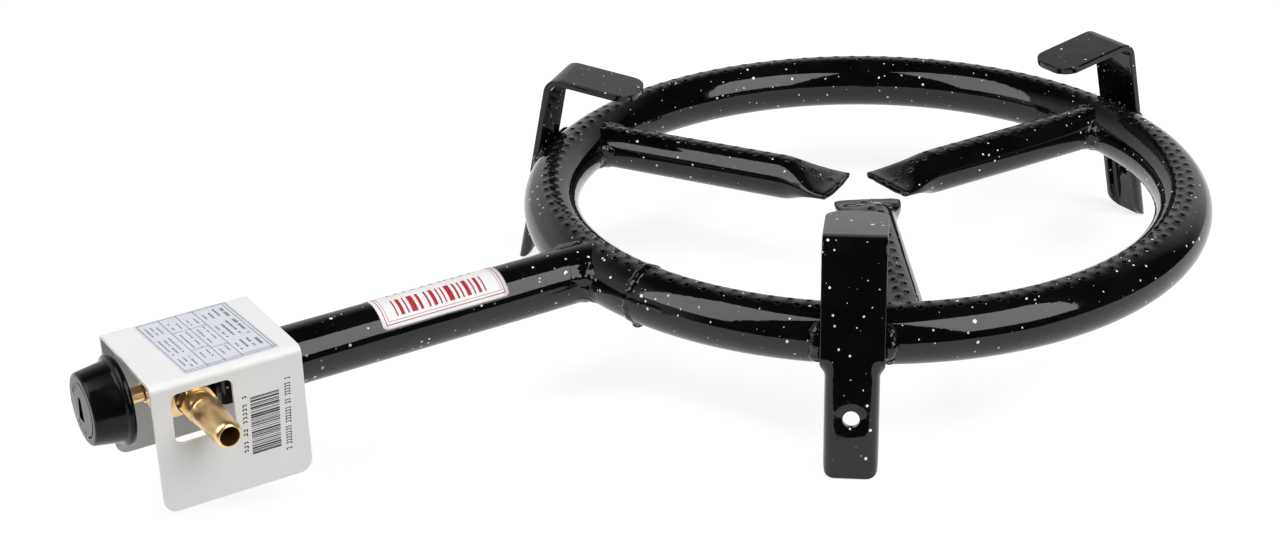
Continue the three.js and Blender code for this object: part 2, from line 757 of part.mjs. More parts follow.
function tapBody() {
  const outside = turned([
    [bodyFront + bodyEdge, 0],
    [bodyFront + bodyEdge, bodyRadius],
    [bodyShoulder - bodyEdge, bodyRadius],
    [bodyShoulder, bodyRadius - bodyEdge],
    [bodyShoulder, neckRadius],
    [neckEnd, neckRadius],
    [neckEnd, 0],
  ]);
  const hexagon = hexBar(bodyFront, bodyFront + bodyHexLength, bodyFlats);
  const aside = new THREE.Vector3(0, 1, 0);
  const boss = standing(inletPlace, aside, -bossReach, 0, bossRadius, turnedSegments);
  const socket = bar(bodyFront - overrun, seatFace, bonnetThreadRadius + seatGap);
  const outlet = bar(seatFace, neckEnd + overrun, neckBoreRadius, smallSegments);
  const jetSeat = bar(neckEnd - injectorShankLength - seatGap, neckEnd + overrun, injectorShankRadius + seatGap);
  const inletSeat = barbShankLength + seatGap - bossReach;
  const inlet = standing(inletPlace, aside, -bossReach - overrun, inletSeat, barbShankRadius + seatGap);
  const passage = standing(portPlace, aside, -bossReach, 0, plugPortRadius);
  const body = cut(join(outside, hexagon, boss), socket, taperSeat(plugGap), outlet, jetSeat, inlet, passage);
  return body.translate(0, 0, tapRise);
}

// Taper plug: axial outlet, a slot for the spindle's tongue, and two side ports that reach the
// inlet in turn, the wide one for the full flame and the fine one for the low flame
function tapPlug() {
  const head = bar(plugFace, seatFace + plugGap, plugHeadRadius);
  const slotHalf = tongueThickness / 2 + seatGap;
  const slotReach = tongueWidth / 2 + seatGap;
  const slot = block(
    [plugFace - overrun, -slotHalf, -slotReach],
    [plugFace + plugSlotDepth, slotHalf, slotReach],
  );
  const outlet = bar(portPlace, seatFace + plugLength + overrun, neckBoreRadius, smallSegments);
  const up = new THREE.Vector3(0, 0, 1);
  const fullPort = standing(portPlace, up, -plugBigRadius - overrun, 0, plugPortRadius);
  const lowPort = standing(portPlace, up, 0, plugBigRadius + overrun, plugLowPortRadius, portSides);
  return cut(join(taperSeat(0), head), slot, outlet, fullPort, lowPort).translate(0, 0, tapRise);
}

// Compression spring round the plug's head, between its shoulder and the spindle's collar
function plugSpring() {
  const from = collarBack + seatGap + springWireRadius;
  const to = seatFace - seatGap - springWireRadius;
  const steps = springCoils * coilSteps;
  const rings = [];
  for (let step = 0; step <= steps; step += 1) {
    const turn = step / coilSteps * 2 * Math.PI;
    const out = new THREE.Vector3(0, Math.cos(turn), Math.sin(turn));
    const place = out.clone().multiplyScalar(springRadius).setX(THREE.MathUtils.lerp(from, to, step / steps));
    const ring = [];
    for (let side = 0; side < wireSides; side += 1) {
      const around = side / wireSides * 2 * Math.PI;
      const point = place.clone().addScaledVector(out, springWireRadius * Math.cos(around));
      ring.push(point.setX(point.x + springWireRadius * Math.sin(around)));
    }
    rings.push(ring);
  }
  return loft(rings).translate(0, 0, tapRise);
}

// Spindle: D-shaped end in the knob, collar under the bonnet, tongue in the plug
function spindle() {
  const shaft = turned([
    [spindleEnd, 0],
    [spindleEnd, spindleRadius],
    [collarFront, spindleRadius],
    [collarFront, spindleCollarRadius],
    [collarBack, spindleCollarRadius],
    [collarBack, 0],
  ]);
  const flatEnd = knobBack + seatGap;
  const flat = block(
    [spindleEnd - overrun, -spindleRadius - overrun, spindleRadius - spindleFlatDepth],
    [flatEnd, spindleRadius + overrun, spindleRadius + overrun],
  );
  const tongue = block(
    [collarBack - spindleCollarThickness / 2, -tongueThickness / 2, -tongueWidth / 2],
    [plugFace + tongueEngagement, tongueThickness / 2, tongueWidth / 2],
  );
  return join(cut(shaft, flat), tongue).translate(0, 0, tapRise);
}

// Bonnet: hexagon, front boss, threaded skirt, cavity for the spring and a groove for the seal
function sealPlace() {
  return bonnetFront + (bonnetFrontWall - sealGrooveWidth) / 2;
}

function bonnet() {
  const hexEnd = bodyFront - seatGap;
  const skirt = bar(hexEnd - overrun, bodyFront + bonnetThreadLength, bonnetThreadRadius);
  const boss = bar(bonnetFront - bonnetBossLength, bonnetFront + overrun, bonnetBossRadius);
  const groove = sealPlace();
  const bore = spindleRadius + seatGap;
  const hollow = turned([
    [bonnetFront - bonnetBossLength - overrun, 0],
    [bonnetFront - bonnetBossLength - overrun, bore],
    [groove, bore],
    [groove, sealGrooveRadius],
    [groove + sealGrooveWidth, sealGrooveRadius],
    [groove + sealGrooveWidth, bore],
    [cavityFront, bore],
    [cavityFront, bonnetCavityRadius],
    [seatFace + overrun, bonnetCavityRadius],
    [seatFace + overrun, 0],
  ]);
  return cut(join(hexBar(bonnetFront, hexEnd, bonnetFlats), skirt, boss), hollow).translate(0, 0, tapRise);
}

function spindleSeal() {
  const ringMiddle = spindleRadius + seatGap + sealWireRadius;
  const ring = new THREE.TorusGeometry(ringMiddle, sealWireRadius, wireSides, smallSegments);
  return ring.rotateY(Math.PI / 2).translate(sealPlace() + sealGrooveWidth / 2, 0, tapRise);
}

function locknut() {
  const front = yokeFront + seatGap;
  const nut = hexBar(front, front + locknutThickness, locknutFlats);
  const bore = bar(front - overrun, front + locknutThickness + overrun, neckRadius + seatGap, smallSegments);
  return cut(nut, bore).translate(0, 0, tapRise);
}

function injector() {
  const hexStart = neckEnd + seatGap;
  const hexEnd = hexStart + injectorHexLength;
  const shank = bar(neckEnd - injectorShankLength, hexStart + seatGap, injectorShankRadius, smallSegments);
  const nose = turned([
    [hexEnd - seatGap, 0],
    [hexEnd - seatGap, injectorNoseRadius],
    [hexEnd + injectorNoseLength - injectorNoseRadius / 2, injectorNoseRadius],
    [hexEnd + injectorNoseLength, injectorNoseRadius / 2],
    [hexEnd + injectorNoseLength, 0],
  ], smallSegments);
  const gallery = bar(neckEnd - injectorShankLength - overrun, hexEnd, injectorNoseRadius / 2, smallSegments);
  const jet = bar(neckEnd, hexEnd + injectorNoseLength + overrun, injectorJetRadius, portSides + 1);
  return cut(join(hexBar(hexStart, hexEnd, injectorFlats), shank, nose), gallery, jet).translate(0, 0, tapRise);
}

// Parts on the hose inlet, turned about X and swung to point along -Y
function onInlet(geometry) {
  return geometry.rotateZ(-Math.PI / 2).translate(inletPlace, -bossReach, tapRise);
}

function barbWasher() {
  const washer = bar(seatGap, seatGap + washerThickness, washerRadius);
  return onInlet(cut(washer, bar(0, 2 * washerThickness, barbShankRadius + seatGap)));
}

function hoseBarb() {
  const hexStart = washerThickness + 2 * seatGap;
  const hexEnd = hexStart + barbHexLength;
  const ridge = hexEnd + barbNeckLength;
  const stem = turned([
    [-barbShankLength, 0],
    [-barbShankLength, barbShankRadius],
    [hexEnd, barbShankRadius],
    [hexEnd, barbNeckRadius],
    [ridge - barbRidgeWidth, barbNeckRadius],
    [ridge - barbRidgeWidth, barbRidgeRadius],
    [ridge, barbRidgeRadius],
    [ridge, barbBackRadius],
    [barbReach - barbEndTaper, barbFrontRadius],
    [barbReach, barbEndRadius],
    [barbReach, 0],
  ]);
  const bore = bar(-barbShankLength - overrun, barbReach + overrun, barbBoreRadius, smallSegments);
  return onInlet(cut(join(stem, hexBar(hexStart, hexEnd, barbFlats)), bore));
}

// Knob: a hollow moulding with a skirt, a hub for the spindle and a sunk pointer
function knobShell() {
  const faceBack = knobFace + knobWall;
  const hollowRadius = knobFaceRadius - knobWall;
  return turned([
    [knobBack, knobHubRadius],
    [faceBack, knobHubRadius],
    [faceBack, hollowRadius],
    [knobBack, knobBackRadius - knobWall],
    [knobBack, knobSkirtRadius],
    [knobBack - knobSkirtThickness + knobFaceEdge, knobSkirtRadius],
    [knobBack - knobSkirtThickness, knobSkirtRadius - knobFaceEdge],
    [knobBack - knobSkirtThickness, knobBackRadius],
    [knobFace + knobFaceEdge, knobFaceRadius],
    [knobFace, knobFaceRadius - knobFaceEdge],
    [knobFace, knobGrooveRadius + knobGrooveWidth / 2],
    [knobFace + knobGrooveDepth, knobGrooveRadius + knobGrooveWidth / 2],
    [knobFace + knobGrooveDepth, knobGrooveRadius - knobGrooveWidth / 2],
    [knobFace, knobGrooveRadius - knobGrooveWidth / 2],
    [knobFace, 0],
    [knobBack, 0],
  ]);
}

function knob() {
  const pointer = new THREE.Shape([
    new THREE.Vector2(-pointerNarrow / 2, pointerLength / 2),
    new THREE.Vector2(-pointerWide / 2, -pointerLength / 2),
    new THREE.Vector2(pointerWide / 2, -pointerLength / 2),
    new THREE.Vector2(pointerNarrow / 2, pointerLength / 2),
  ]);
  const recess = plateAlongX(pointer, knobFace - overrun, knobFace + pointerDepth);
  const boreRadius = spindleRadius + seatGap;
  const bore = bar(spindleEnd - seatGap, knobBack + overrun, boreRadius);
  const keep = block(
    [spindleEnd - overrun, -boreRadius - overrun, spindleRadius - spindleFlatDepth + 2 * seatGap + clipThickness],
    [knobBack + 2 * overrun, boreRadius + overrun, boreRadius + overrun],
  );
  return cut(knobShell(), cut(bore, keep), recess).translate(0, 0, tapRise);
}

function knobClip() {
  const floor = spindleRadius - spindleFlatDepth + seatGap;
  const start = spindleEnd + seatGap;
  const leaf = block([start, -clipWidth / 2, floor], [start + clipLength, clipWidth / 2, floor + clipThickness]);
  return leaf.translate(0, 0, tapRise);
}

// Materials
function finish(color, roughness, metalness) {
  return () => new THREE.MeshStandardMaterial({ color, roughness, metalness });
}

const enamel = finish(0x0b0b0d, 0.12, 0);
const whitePaint = finish(0xf2f2f0, 0.4, 0);
const brass = finish(0xc79a45, 0.3, 1);
const steel = finish(0xb9bcc0, 0.35, 1);
const blackPlastic = finish(0x141416, 0.35, 0);
const rubber = finish(0x1c1c1c, 0.8, 0);

const burner = new THREE.Group();

function add(name, geometry, material) {
  const mesh = new THREE.Mesh(geometry, material());
  mesh.name = name;
  burner.add(mesh);
}

add('ring_tube', ringTube(), enamel);
for (let spoke = 0; spoke < spokeCount; spoke += 1) add(`spoke_tube_${spoke + 1}`, spokeTube(spoke), enamel);
legAzimuths.forEach((azimuth, step) => add(`leg_${step + 1}`, leg(azimuth), enamel));
add('feed_tube', feedTube(), enamel);
add('mouth_yoke', mouthYoke(), enamel);
add('shield_bracket', shieldBracket(), enamel);
add('control_shield', shield(), whitePaint);
screwPlaces().forEach((x, step) => {
  add(`shield_screw_${step + 1}`, shieldScrew(x), steel);
  add(`shield_nut_${step + 1}`, shieldNut(x), steel);
});
add('tap_body', tapBody(), brass);
add('tap_plug', tapPlug(), brass);
add('plug_spring', plugSpring(), steel);
add('spindle', spindle(), brass);
add('bonnet', bonnet(), brass);
add('spindle_seal', spindleSeal(), rubber);
add('tap_locknut', locknut(), brass);
add('injector', injector(), brass);
add('barb_washer', barbWasher(), rubber);
add('hose_barb', hoseBarb(), brass);
add('knob', knob(), blackPlastic);
add('knob_clip', knobClip(), steel);

// The origin is under the middle of the burner, on the surface it stands on
const bounds = new THREE.Box3().setFromObject(burner);
const middle = bounds.getCenter(new THREE.Vector3());
burner.position.set(-middle.x, -middle.y, -bounds.min.z);

const model = new THREE.Group();
model.add(burner);

export default model;
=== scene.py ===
"""Looks for the paella burner: smooth enamelled tubes with flame ports, folded shield, brass tap and knob.

Sizes are in millimetres round the ring's centre, as in the CAD source, and are put in metres by to_frame.
A shape is a pair: its points and its faces.
"""

import random
from math import acos, atan2, copysign, cos, hypot, pi, radians, sin, sqrt, tan

import bmesh
import bpy
import numpy as np
from mathutils import Matrix, Vector, noise
from mathutils.geometry import delaunay_2d_cdt


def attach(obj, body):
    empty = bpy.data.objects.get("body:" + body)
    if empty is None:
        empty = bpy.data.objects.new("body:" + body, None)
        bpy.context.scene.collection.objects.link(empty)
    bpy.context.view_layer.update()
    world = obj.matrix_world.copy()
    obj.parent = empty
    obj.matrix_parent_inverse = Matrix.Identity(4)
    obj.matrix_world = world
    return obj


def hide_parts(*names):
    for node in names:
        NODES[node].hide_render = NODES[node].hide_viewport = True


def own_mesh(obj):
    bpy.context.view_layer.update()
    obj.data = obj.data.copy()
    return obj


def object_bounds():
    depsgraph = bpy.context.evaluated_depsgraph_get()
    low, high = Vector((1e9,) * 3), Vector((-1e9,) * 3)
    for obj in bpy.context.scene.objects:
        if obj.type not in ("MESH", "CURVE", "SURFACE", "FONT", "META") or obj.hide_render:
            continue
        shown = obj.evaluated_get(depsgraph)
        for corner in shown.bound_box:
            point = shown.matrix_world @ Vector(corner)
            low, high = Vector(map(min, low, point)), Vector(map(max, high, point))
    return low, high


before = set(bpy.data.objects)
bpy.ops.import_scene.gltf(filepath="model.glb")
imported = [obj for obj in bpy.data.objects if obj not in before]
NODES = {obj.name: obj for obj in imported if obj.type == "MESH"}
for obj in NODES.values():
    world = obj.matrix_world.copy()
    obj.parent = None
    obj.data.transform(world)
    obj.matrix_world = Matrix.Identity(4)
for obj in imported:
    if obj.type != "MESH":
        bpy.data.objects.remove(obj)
CAD_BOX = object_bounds()

MM = 0.001
RING_CENTRE = Vector((CAD_BOX[0][0] + 0.3572, 0.0, 0.0503171))

# Sizes shared with the CAD source. TUBE, SPOKE, FEED and PORT are radii, RING is that of the ring's middle line
TUBE = 12.1
RING = 137.9
PORT = 1.1
PITCH = 7.75
WALL = 1.5
SPOKE = 9.75
FEED = 12.0
MOUTH = -297.0
TAP_Z = 2.2
TAP_AXIS = (0, 0, TAP_Z)
LEGS = [0.0, radians(128.5), radians(231.5)]
BODY_FRONT = -326.5
BONNET_FRONT = -331.8
KNOB_BACK = -342.6
KNOB_FACE = -357.2
INLET = -319.6
SHIELD_FRONT = -339.5
SHIELD_TOP = 17.4
SHIELD_HALF = 27.0

# The legs are bent strips. REST_END to BOLT are lengths along them: rounded ends, the foot's channel, the bolt hole
LEAN = radians(12)
SLOPE = radians(9)
REST_TOP = 41.5
FOOT_DROP = 50
LEG_HALF = 12.5
LEG_SKIN = 1.5
REST_END, FOOT_END = 8.5, 8
RAMP = 8
FOLD = FOOT_DROP / cos(LEAN) - 3.5
BOLT = (FOOT_DROP - 26.8) / cos(LEAN)

# The camera, fitted to the photograph's outlines: it is DISTANCE from AIM
PHOTO_WIDTH = 1280
FOCAL_PIXELS = 2237.38
SENSOR = 36
AZIMUTH, ELEVATION, ROLL = (radians(a) for a in (-31.089, 25.485, -1.6775))
AIM = (-124.08, -12.65, 0)
DISTANCE = 921.07


def to_frame(p):
    return RING_CENTRE + Vector(p) * MM


def turns(count):
    """The angles of a full turn in even steps."""
    return [2 * pi * s / count for s in range(count)]


def within(share):
    return min(max(share, 0), 1)


def eased(share):
    return share * share * (3 - 2 * share)


def curved(a, corner, b, t):
    """A point of the curve from a to b that leaves and arrives along the sides of the corner."""
    return (1 - t) ** 2 * a + 2 * t * (1 - t) * corner + t * t * b


def ripple(x, y, z):
    return noise.noise(Vector((x, y, z)))


def linked(name, data):
    obj = bpy.data.objects.new(name, data)
    bpy.context.scene.collection.objects.link(obj)
    return obj


# ---- materials


class Nodes:
    """A node tree, with short calls to add and join nodes."""

    def __init__(self, owner):
        owner.use_nodes = True
        self.tree = owner.node_tree

    def add(self, kind, inputs=(), **settings):
        """A node with its settings, and with a value or a socket for each input, by place or by name."""
        node = self.tree.nodes.new(kind)
        for key, value in settings.items():
            setattr(node, key, value)
        for key, value in dict(inputs).items():
            self.put(node.inputs[key], value)
        return node

    def put(self, socket, value):
        if isinstance(value, bpy.types.NodeSocket):
            self.tree.links.new(value, socket)
        else:
            socket.default_value = value

    def math(self, operation, a, b=0.0, c=0.0, clamp=False):
        return self.add("ShaderNodeMath", enumerate((a, b, c)), operation=operation, use_clamp=clamp).outputs[0]


class Surface(Nodes):
    """A material whose patterns follow the object's own coordinates, in metres."""

    def __init__(self, name):
        self.material = bpy.data.materials.new(name)
        super().__init__(self.material)
        self.shader = self.tree.nodes["Principled BSDF"]
        self.where = self.add("ShaderNodeTexCoord").outputs["Object"]

    def noise(self, scale, detail=2.0, rough=0.5, stretch=(1, 1, 1)):
        where = self.add("ShaderNodeMapping", {"Scale": stretch, "Vector": self.where}).outputs[0]
        inputs = {"Scale": scale, "Detail": detail, "Roughness": rough, "Vector": where}
        return self.add("ShaderNodeTexNoise", inputs).outputs["Fac"]

    def span(self, value, low, high, to_low=0.0, to_high=1.0):
        return self.add("ShaderNodeMapRange", enumerate((value, low, high, to_low, to_high)), clamp=True).outputs[0]

    def cloud(self, scale, detail, to_low=0.0, to_high=1.0):
        """Noise spread over its usual range."""
        return self.span(self.noise(scale, detail), 0.3, 0.7, to_low, to_high)

    def mix(self, share, a, b):
        a, b = (v if isinstance(v, bpy.types.NodeSocket) else (*v, 1) for v in (a, b))
        return self.add("ShaderNodeMix", {0: share, 6: a, 7: b}, data_type="RGBA").outputs[2]

    def bump(self, height, strength, distance):
        node = self.add("ShaderNodeBump", {"Strength": strength, "Distance": distance, "Height": height})
        self.set(Normal=node.outputs[0])

    def set(self, **values):
        for key, value in values.items():
            self.put(self.shader.inputs[key.replace("_", " ")], value)


def enamel_material():
    """Black enamel with orange peel and white flecks, each in its own cell and crowded in places."""
    m = Surface("enamel")
    shift = m.math("MULTIPLY", m.math("SUBTRACT", m.noise(900, 1), 0.5), 0.0006)
    warped = m.add("ShaderNodeVectorMath", {0: m.where, 1: shift}, operation="ADD").outputs[0]
    cells_per_metre = 330
    inputs = {"Scale": cells_per_metre, "Vector": warped}
    cells = m.add("ShaderNodeTexVoronoi", inputs, voronoi_dimensions="3D", feature="F1")
    parts = m.add("ShaderNodeSeparateColor", {0: cells.outputs["Color"]})
    size = m.math("MULTIPLY_ADD", m.math("POWER", parts.outputs[0], 2.6), 0.18, 0.02)
    crowd = m.span(m.noise(35, 2), 0.35, 0.65, 0.6, 1.3)
    beyond = m.math("SUBTRACT", cells.outputs["Distance"], m.math("MULTIPLY", size, crowd))
    shown = m.span(parts.outputs[1], 0.1, 0.3)
    fleck = m.math("MULTIPLY", m.span(beyond, 0.0, 0.03, 1.0, 0.0), shown)
    black = m.mix(m.cloud(60, 3), (0.0018, 0.0018, 0.0022), (0.004, 0.0038, 0.0046))
    m.set(Base_Color=m.mix(fleck, black, (0.86, 0.86, 0.85)), Roughness=m.cloud(240, 3, 0.03, 0.08), IOR=1.46)
    peel = m.math("MULTIPLY_ADD", m.noise(45, 2), 1.0, m.math("MULTIPLY", m.noise(320, 2), 0.12))
    m.bump(m.math("MULTIPLY_ADD", fleck, 0.05, peel), 0.35, 0.0006)
    return m.material


def paint_material():
    m = Surface("white_paint")
    grime = m.span(m.noise(700, 3), 0.62, 0.8, 0.0, 0.25)
    white = m.mix(m.span(m.noise(30, 4), 0.3, 0.75), (0.80, 0.80, 0.80), (0.84, 0.84, 0.835))
    m.set(Base_Color=m.mix(grime, white, (0.70, 0.69, 0.67)), Roughness=m.cloud(200, 2, 0.32, 0.45), IOR=1.5)
    m.bump(m.noise(1500, 2), 0.10, 0.0003)
    return m.material


def brass_material():
    m = Surface("brass")
    stain = m.span(m.noise(90, 4, 0.6), 0.42, 0.72, 0.0, 0.5)
    turning = m.noise(500, 2, 0.6, (6, 1, 1))
    colour = m.mix(stain, (0.88, 0.62, 0.30), (0.66, 0.44, 0.19))
    m.set(Base_Color=m.mix(m.span(turning, 0.3, 0.7, 0.0, 0.25), colour, (0.94, 0.73, 0.42)))
    m.set(Metallic=1.0, Roughness=m.cloud(300, 3, 0.27, 0.36))
    m.bump(m.math("ADD", turning, m.noise(1200, 1)), 0.06, 0.0001)
    return m.material


def steel_material(name, low, high, rough):
    m = Surface(name)
    m.set(Base_Color=m.mix(m.cloud(250, 4), low, high), Metallic=1.0, Roughness=m.cloud(500, 2, rough, rough + 0.15))
    m.bump(m.noise(1800, 2), 0.15, 0.0001)
    return m.material


def plastic_material():
    m = Surface("black_plastic")
    wear = m.span(m.noise(140, 4), 0.5, 0.8)
    m.set(Base_Color=m.mix(wear, (0.003, 0.003, 0.0035), (0.008, 0.0075, 0.008)))
    m.set(Roughness=m.cloud(90, 3, 0.14, 0.22), IOR=1.45, Specular_IOR_Level=0.24)
    m.bump(m.math("MULTIPLY_ADD", m.noise(2500, 1), 0.4, m.noise(60, 1)), 0.12, 0.0003)
    return m.material


def rubber_material():
    m = Surface("rubber")
    m.set(Base_Color=m.mix(m.noise(300, 3), (0.012, 0.012, 0.012), (0.035, 0.034, 0.033)))
    m.set(Roughness=m.cloud(400, 2, 0.6, 0.85))
    m.bump(m.noise(1500, 2), 0.2, 0.0003)
    return m.material


def paper_material(name, colour, shade, rough):
    m = Surface(name)
    m.set(Base_Color=m.mix(m.cloud(160, 4), colour, shade), Roughness=m.cloud(500, 2, rough, rough + 0.12), IOR=1.45)
    m.bump(m.noise(120, 2), 0.12, 0.0003)
    return m.material


ENAMEL = enamel_material()
PAINT = paint_material()
BRASS = brass_material()
ZINC = steel_material("zinc_steel", (0.50, 0.51, 0.50), (0.68, 0.68, 0.66), 0.25)
SPRING = steel_material("spring_steel", (0.38, 0.38, 0.38), (0.55, 0.55, 0.54), 0.3)
PLASTIC = plastic_material()
RUBBER = rubber_material()
STICKER = paper_material("sticker_white", (0.85, 0.85, 0.85), (0.80, 0.80, 0.81), 0.3)
PLATE_FILM = paper_material("sticker_silver", (0.66, 0.68, 0.74), (0.72, 0.73, 0.78), 0.35)
RED_INK = paper_material("ink_red", (0.48, 0.02, 0.03), (0.40, 0.015, 0.025), 0.4)
GREY_INK = paper_material("ink_grey", (0.10, 0.105, 0.13), (0.15, 0.155, 0.18), 0.4)
DARK_INK = paper_material("ink_black", (0.02, 0.02, 0.025), (0.05, 0.05, 0.055), 0.4)

# ---- mesh tools


def mesh_of(name, shape):
    """A mesh with its doubled points joined and its faces turned outward."""
    mesh = bpy.data.meshes.new(name)
    mesh.from_pydata([tuple(to_frame(p)) for p in shape[0]], [], shape[1])
    build = bmesh.new()
    build.from_mesh(mesh)
    bmesh.ops.remove_doubles(build, verts=build.verts, dist=1e-7)
    bmesh.ops.recalc_face_normals(build, faces=build.faces)
    build.to_mesh(mesh)
    build.free()
    return mesh


def piece(name, shape, body, slot, material, replaces=(), bevel=(), sharp=None, cut=None):
    """An object from a shape; cut is a shape taken out of it, and a bevel rounds its edges."""
    obj = linked(name, mesh_of(name, shape))
    obj.data.materials.append(material)
    if cut:
        take_out(obj, cut)
    mesh = obj.data
    mesh.polygons.foreach_set("use_smooth", [True] * len(mesh.polygons))
    if sharp:
        mesh.set_sharp_from_angle(angle=radians(sharp))
    if bevel:
        add_bevel(obj, *bevel)
    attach(obj, body)
    if replaces:
        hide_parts(*replaces)
    return obj


def enamelled(name, shape, *replaces, **more):
    piece(name, shape, "burner", "enamel", ENAMEL, replaces, **more)


def brazen(name, replaced, *parts, body="burner", sharp=30):
    piece(name, merged(*parts), body, "brass", BRASS, [replaced], sharp=sharp)


def sticker(name, shape, material, **more):
    """A sticker or its print, with its own material, on the burner."""
    return piece(name, shape, "burner", "white_paint", material, **more)


def add_bevel(obj, width, angle=32, segments=2):
    rounding = obj.modifiers.new("rounding", "BEVEL")
    rounding.width = width * MM
    rounding.segments = segments
    rounding.limit_method = "ANGLE"
    rounding.angle_limit = radians(angle)
    obj.modifiers.new("flat faces", "WEIGHTED_NORMAL").keep_sharp = True


def thicken(obj, thickness, offset, even=False):
    sheet = obj.modifiers.new("sheet", "SOLIDIFY")
    sheet.thickness, sheet.offset, sheet.use_even_offset = thickness * MM, offset, even


def evaluated(obj):
    """A new mesh of an object with its modifiers applied."""
    bpy.context.view_layer.update()
    return bpy.data.meshes.new_from_object(obj.evaluated_get(bpy.context.evaluated_depsgraph_get()))


def take_out(obj, shape):
    """Cuts a closed shape out of an object's mesh."""
    cutter = linked("cutter", mesh_of("cutter", shape))
    cut = obj.modifiers.new("cut", "BOOLEAN")
    cut.operation, cut.solver, cut.object = "DIFFERENCE", "EXACT", cutter
    mesh = evaluated(obj)
    obj.modifiers.clear()
    obj.data = mesh
    bpy.data.objects.remove(cutter)


def skin(rows, close_rows=False, close_ring=True, caps=(False, False)):
    """Rows of points, all as long, joined by quads; caps close the first and last row."""
    count = len(rows[0])
    points = [p for row in rows for p in row]
    faces = []
    last = len(rows) if close_rows else len(rows) - 1
    for r in range(last):
        a, b = r * count, (r + 1) % len(rows) * count
        for s in range(count if close_ring else count - 1):
            t = (s + 1) % count
            faces.append((a + s, a + t, b + t, b + s))
    if caps[0]:
        faces.append(tuple(range(count))[::-1])
    if caps[1]:
        faces.append(tuple(range((len(rows) - 1) * count, len(rows) * count)))
    return points, faces


def merged(*parts):
    points, faces = [], []
    for p, f in parts:
        base = len(points)
        points += p
        faces += [tuple(i + base for i in face) for face in f]
    return points, faces


def spun(shape, angle):
    c, s = cos(angle), sin(angle)
    return [(x * c - y * s, x * s + y * c, z) for x, y, z in shape[0]], shape[1]


def laid(along, u, v, axis, at):
    """A point at a place along an axis that starts at a point, u and v off it."""
    x, y = (along, u) if axis == "x" else (u, -along)
    return x + at[0], y + at[1], v + at[2]


def turned(profile, segments, axis="x", at=TAP_AXIS):
    """[place along the axis, radius] points turned about an axis; a loop if the first is off the axis."""
    rows = [[laid(along, r * cos(a), r * sin(a), axis, at) for along, r in profile] for a in turns(segments)]
    return skin(rows, close_rows=True, close_ring=profile[0][1] > 0)


def hexagon(start, end, flats, bore, chamfer, axis="x", at=TAP_AXIS):
    """A hexagonal nut with chamfered corners and a round hole through it."""
    rows = []
    for a in turns(72):
        nearest = round(a / (pi / 3)) * pi / 3
        reach = flats / 2 / cos(a - nearest)
        ends = min(reach, flats / 2 * 1.035)
        side = [(start, ends), (start + chamfer, reach), (end - chamfer, reach), (end, ends)]
        loop = [(start, bore), *side, (end, bore)]
        rows.append([laid(along, r * sin(a), r * cos(a), axis, at) for along, r in loop])
    return skin(rows, close_rows=True)


def box(low, high):
    (a, b, c), (d, e, f) = low, high
    points = [(a, b, c), (d, b, c), (d, e, c), (a, e, c), (a, b, f), (d, b, f), (d, e, f), (a, e, f)]
    return points, [(0, 3, 2, 1), (4, 5, 6, 7), (0, 1, 5, 4), (1, 2, 6, 5), (2, 3, 7, 6), (3, 0, 4, 7)]


def bead(line, radius, lump, sides, seed, closed=False):
    """A lumpy weld bead along a line of points, thinner at its ends."""
    rows = []
    count = len(line)
    for k, p in enumerate(line):
        p = Vector(p)
        before = Vector(line[k - 1] if closed or k else p)
        after = Vector(line[(k + 1) % count] if closed or k + 1 < count else p)
        way = (after - before).normalized()
        side = way.orthogonal().normalized()
        if abs(way.z) < 0.9:
            side = way.cross(Vector((0, 0, 1))).normalized()
        up = side.cross(way)
        thick = radius * (1 + lump * ripple(k * 0.55, seed, 0.3))
        if not closed:
            thick *= max(0.05, sin(pi * (k + 0.35) / (count - 0.3)) ** 0.35)
        rows.append([tuple(p + side * thick * cos(a) + up * thick * sin(a)) for a in turns(sides)])
    return skin(rows, close_rows=closed, caps=(not closed, not closed))


def drop(at, size):
    """A flattened drip."""
    rows = []
    for v in (pi * s / 8 for s in range(9)):
        reach, z = size * sin(v), at[2] + 0.8 * size * cos(v)
        rows.append([(at[0] + reach * cos(a) * 1.2, at[1] + reach * sin(a), z) for a in turns(14)])
    return skin(rows)


# ---- tubes with flame ports


# A port's cell in steps of the grid; a band of ports is two cells wide. RIM is a port's rounded edge
CELL_LONG, CELL_WIDE = 8, 4
HALF_LONG, HALF_WIDE = CELL_LONG // 2, CELL_WIDE // 2
BAND = 2 * CELL_WIDE
RIM = [(1.75, -0.02), (1.4, -0.09), (1.15, -0.02), (1.0, 0.4), (1.0, WALL)]
RING_PORTS = 112


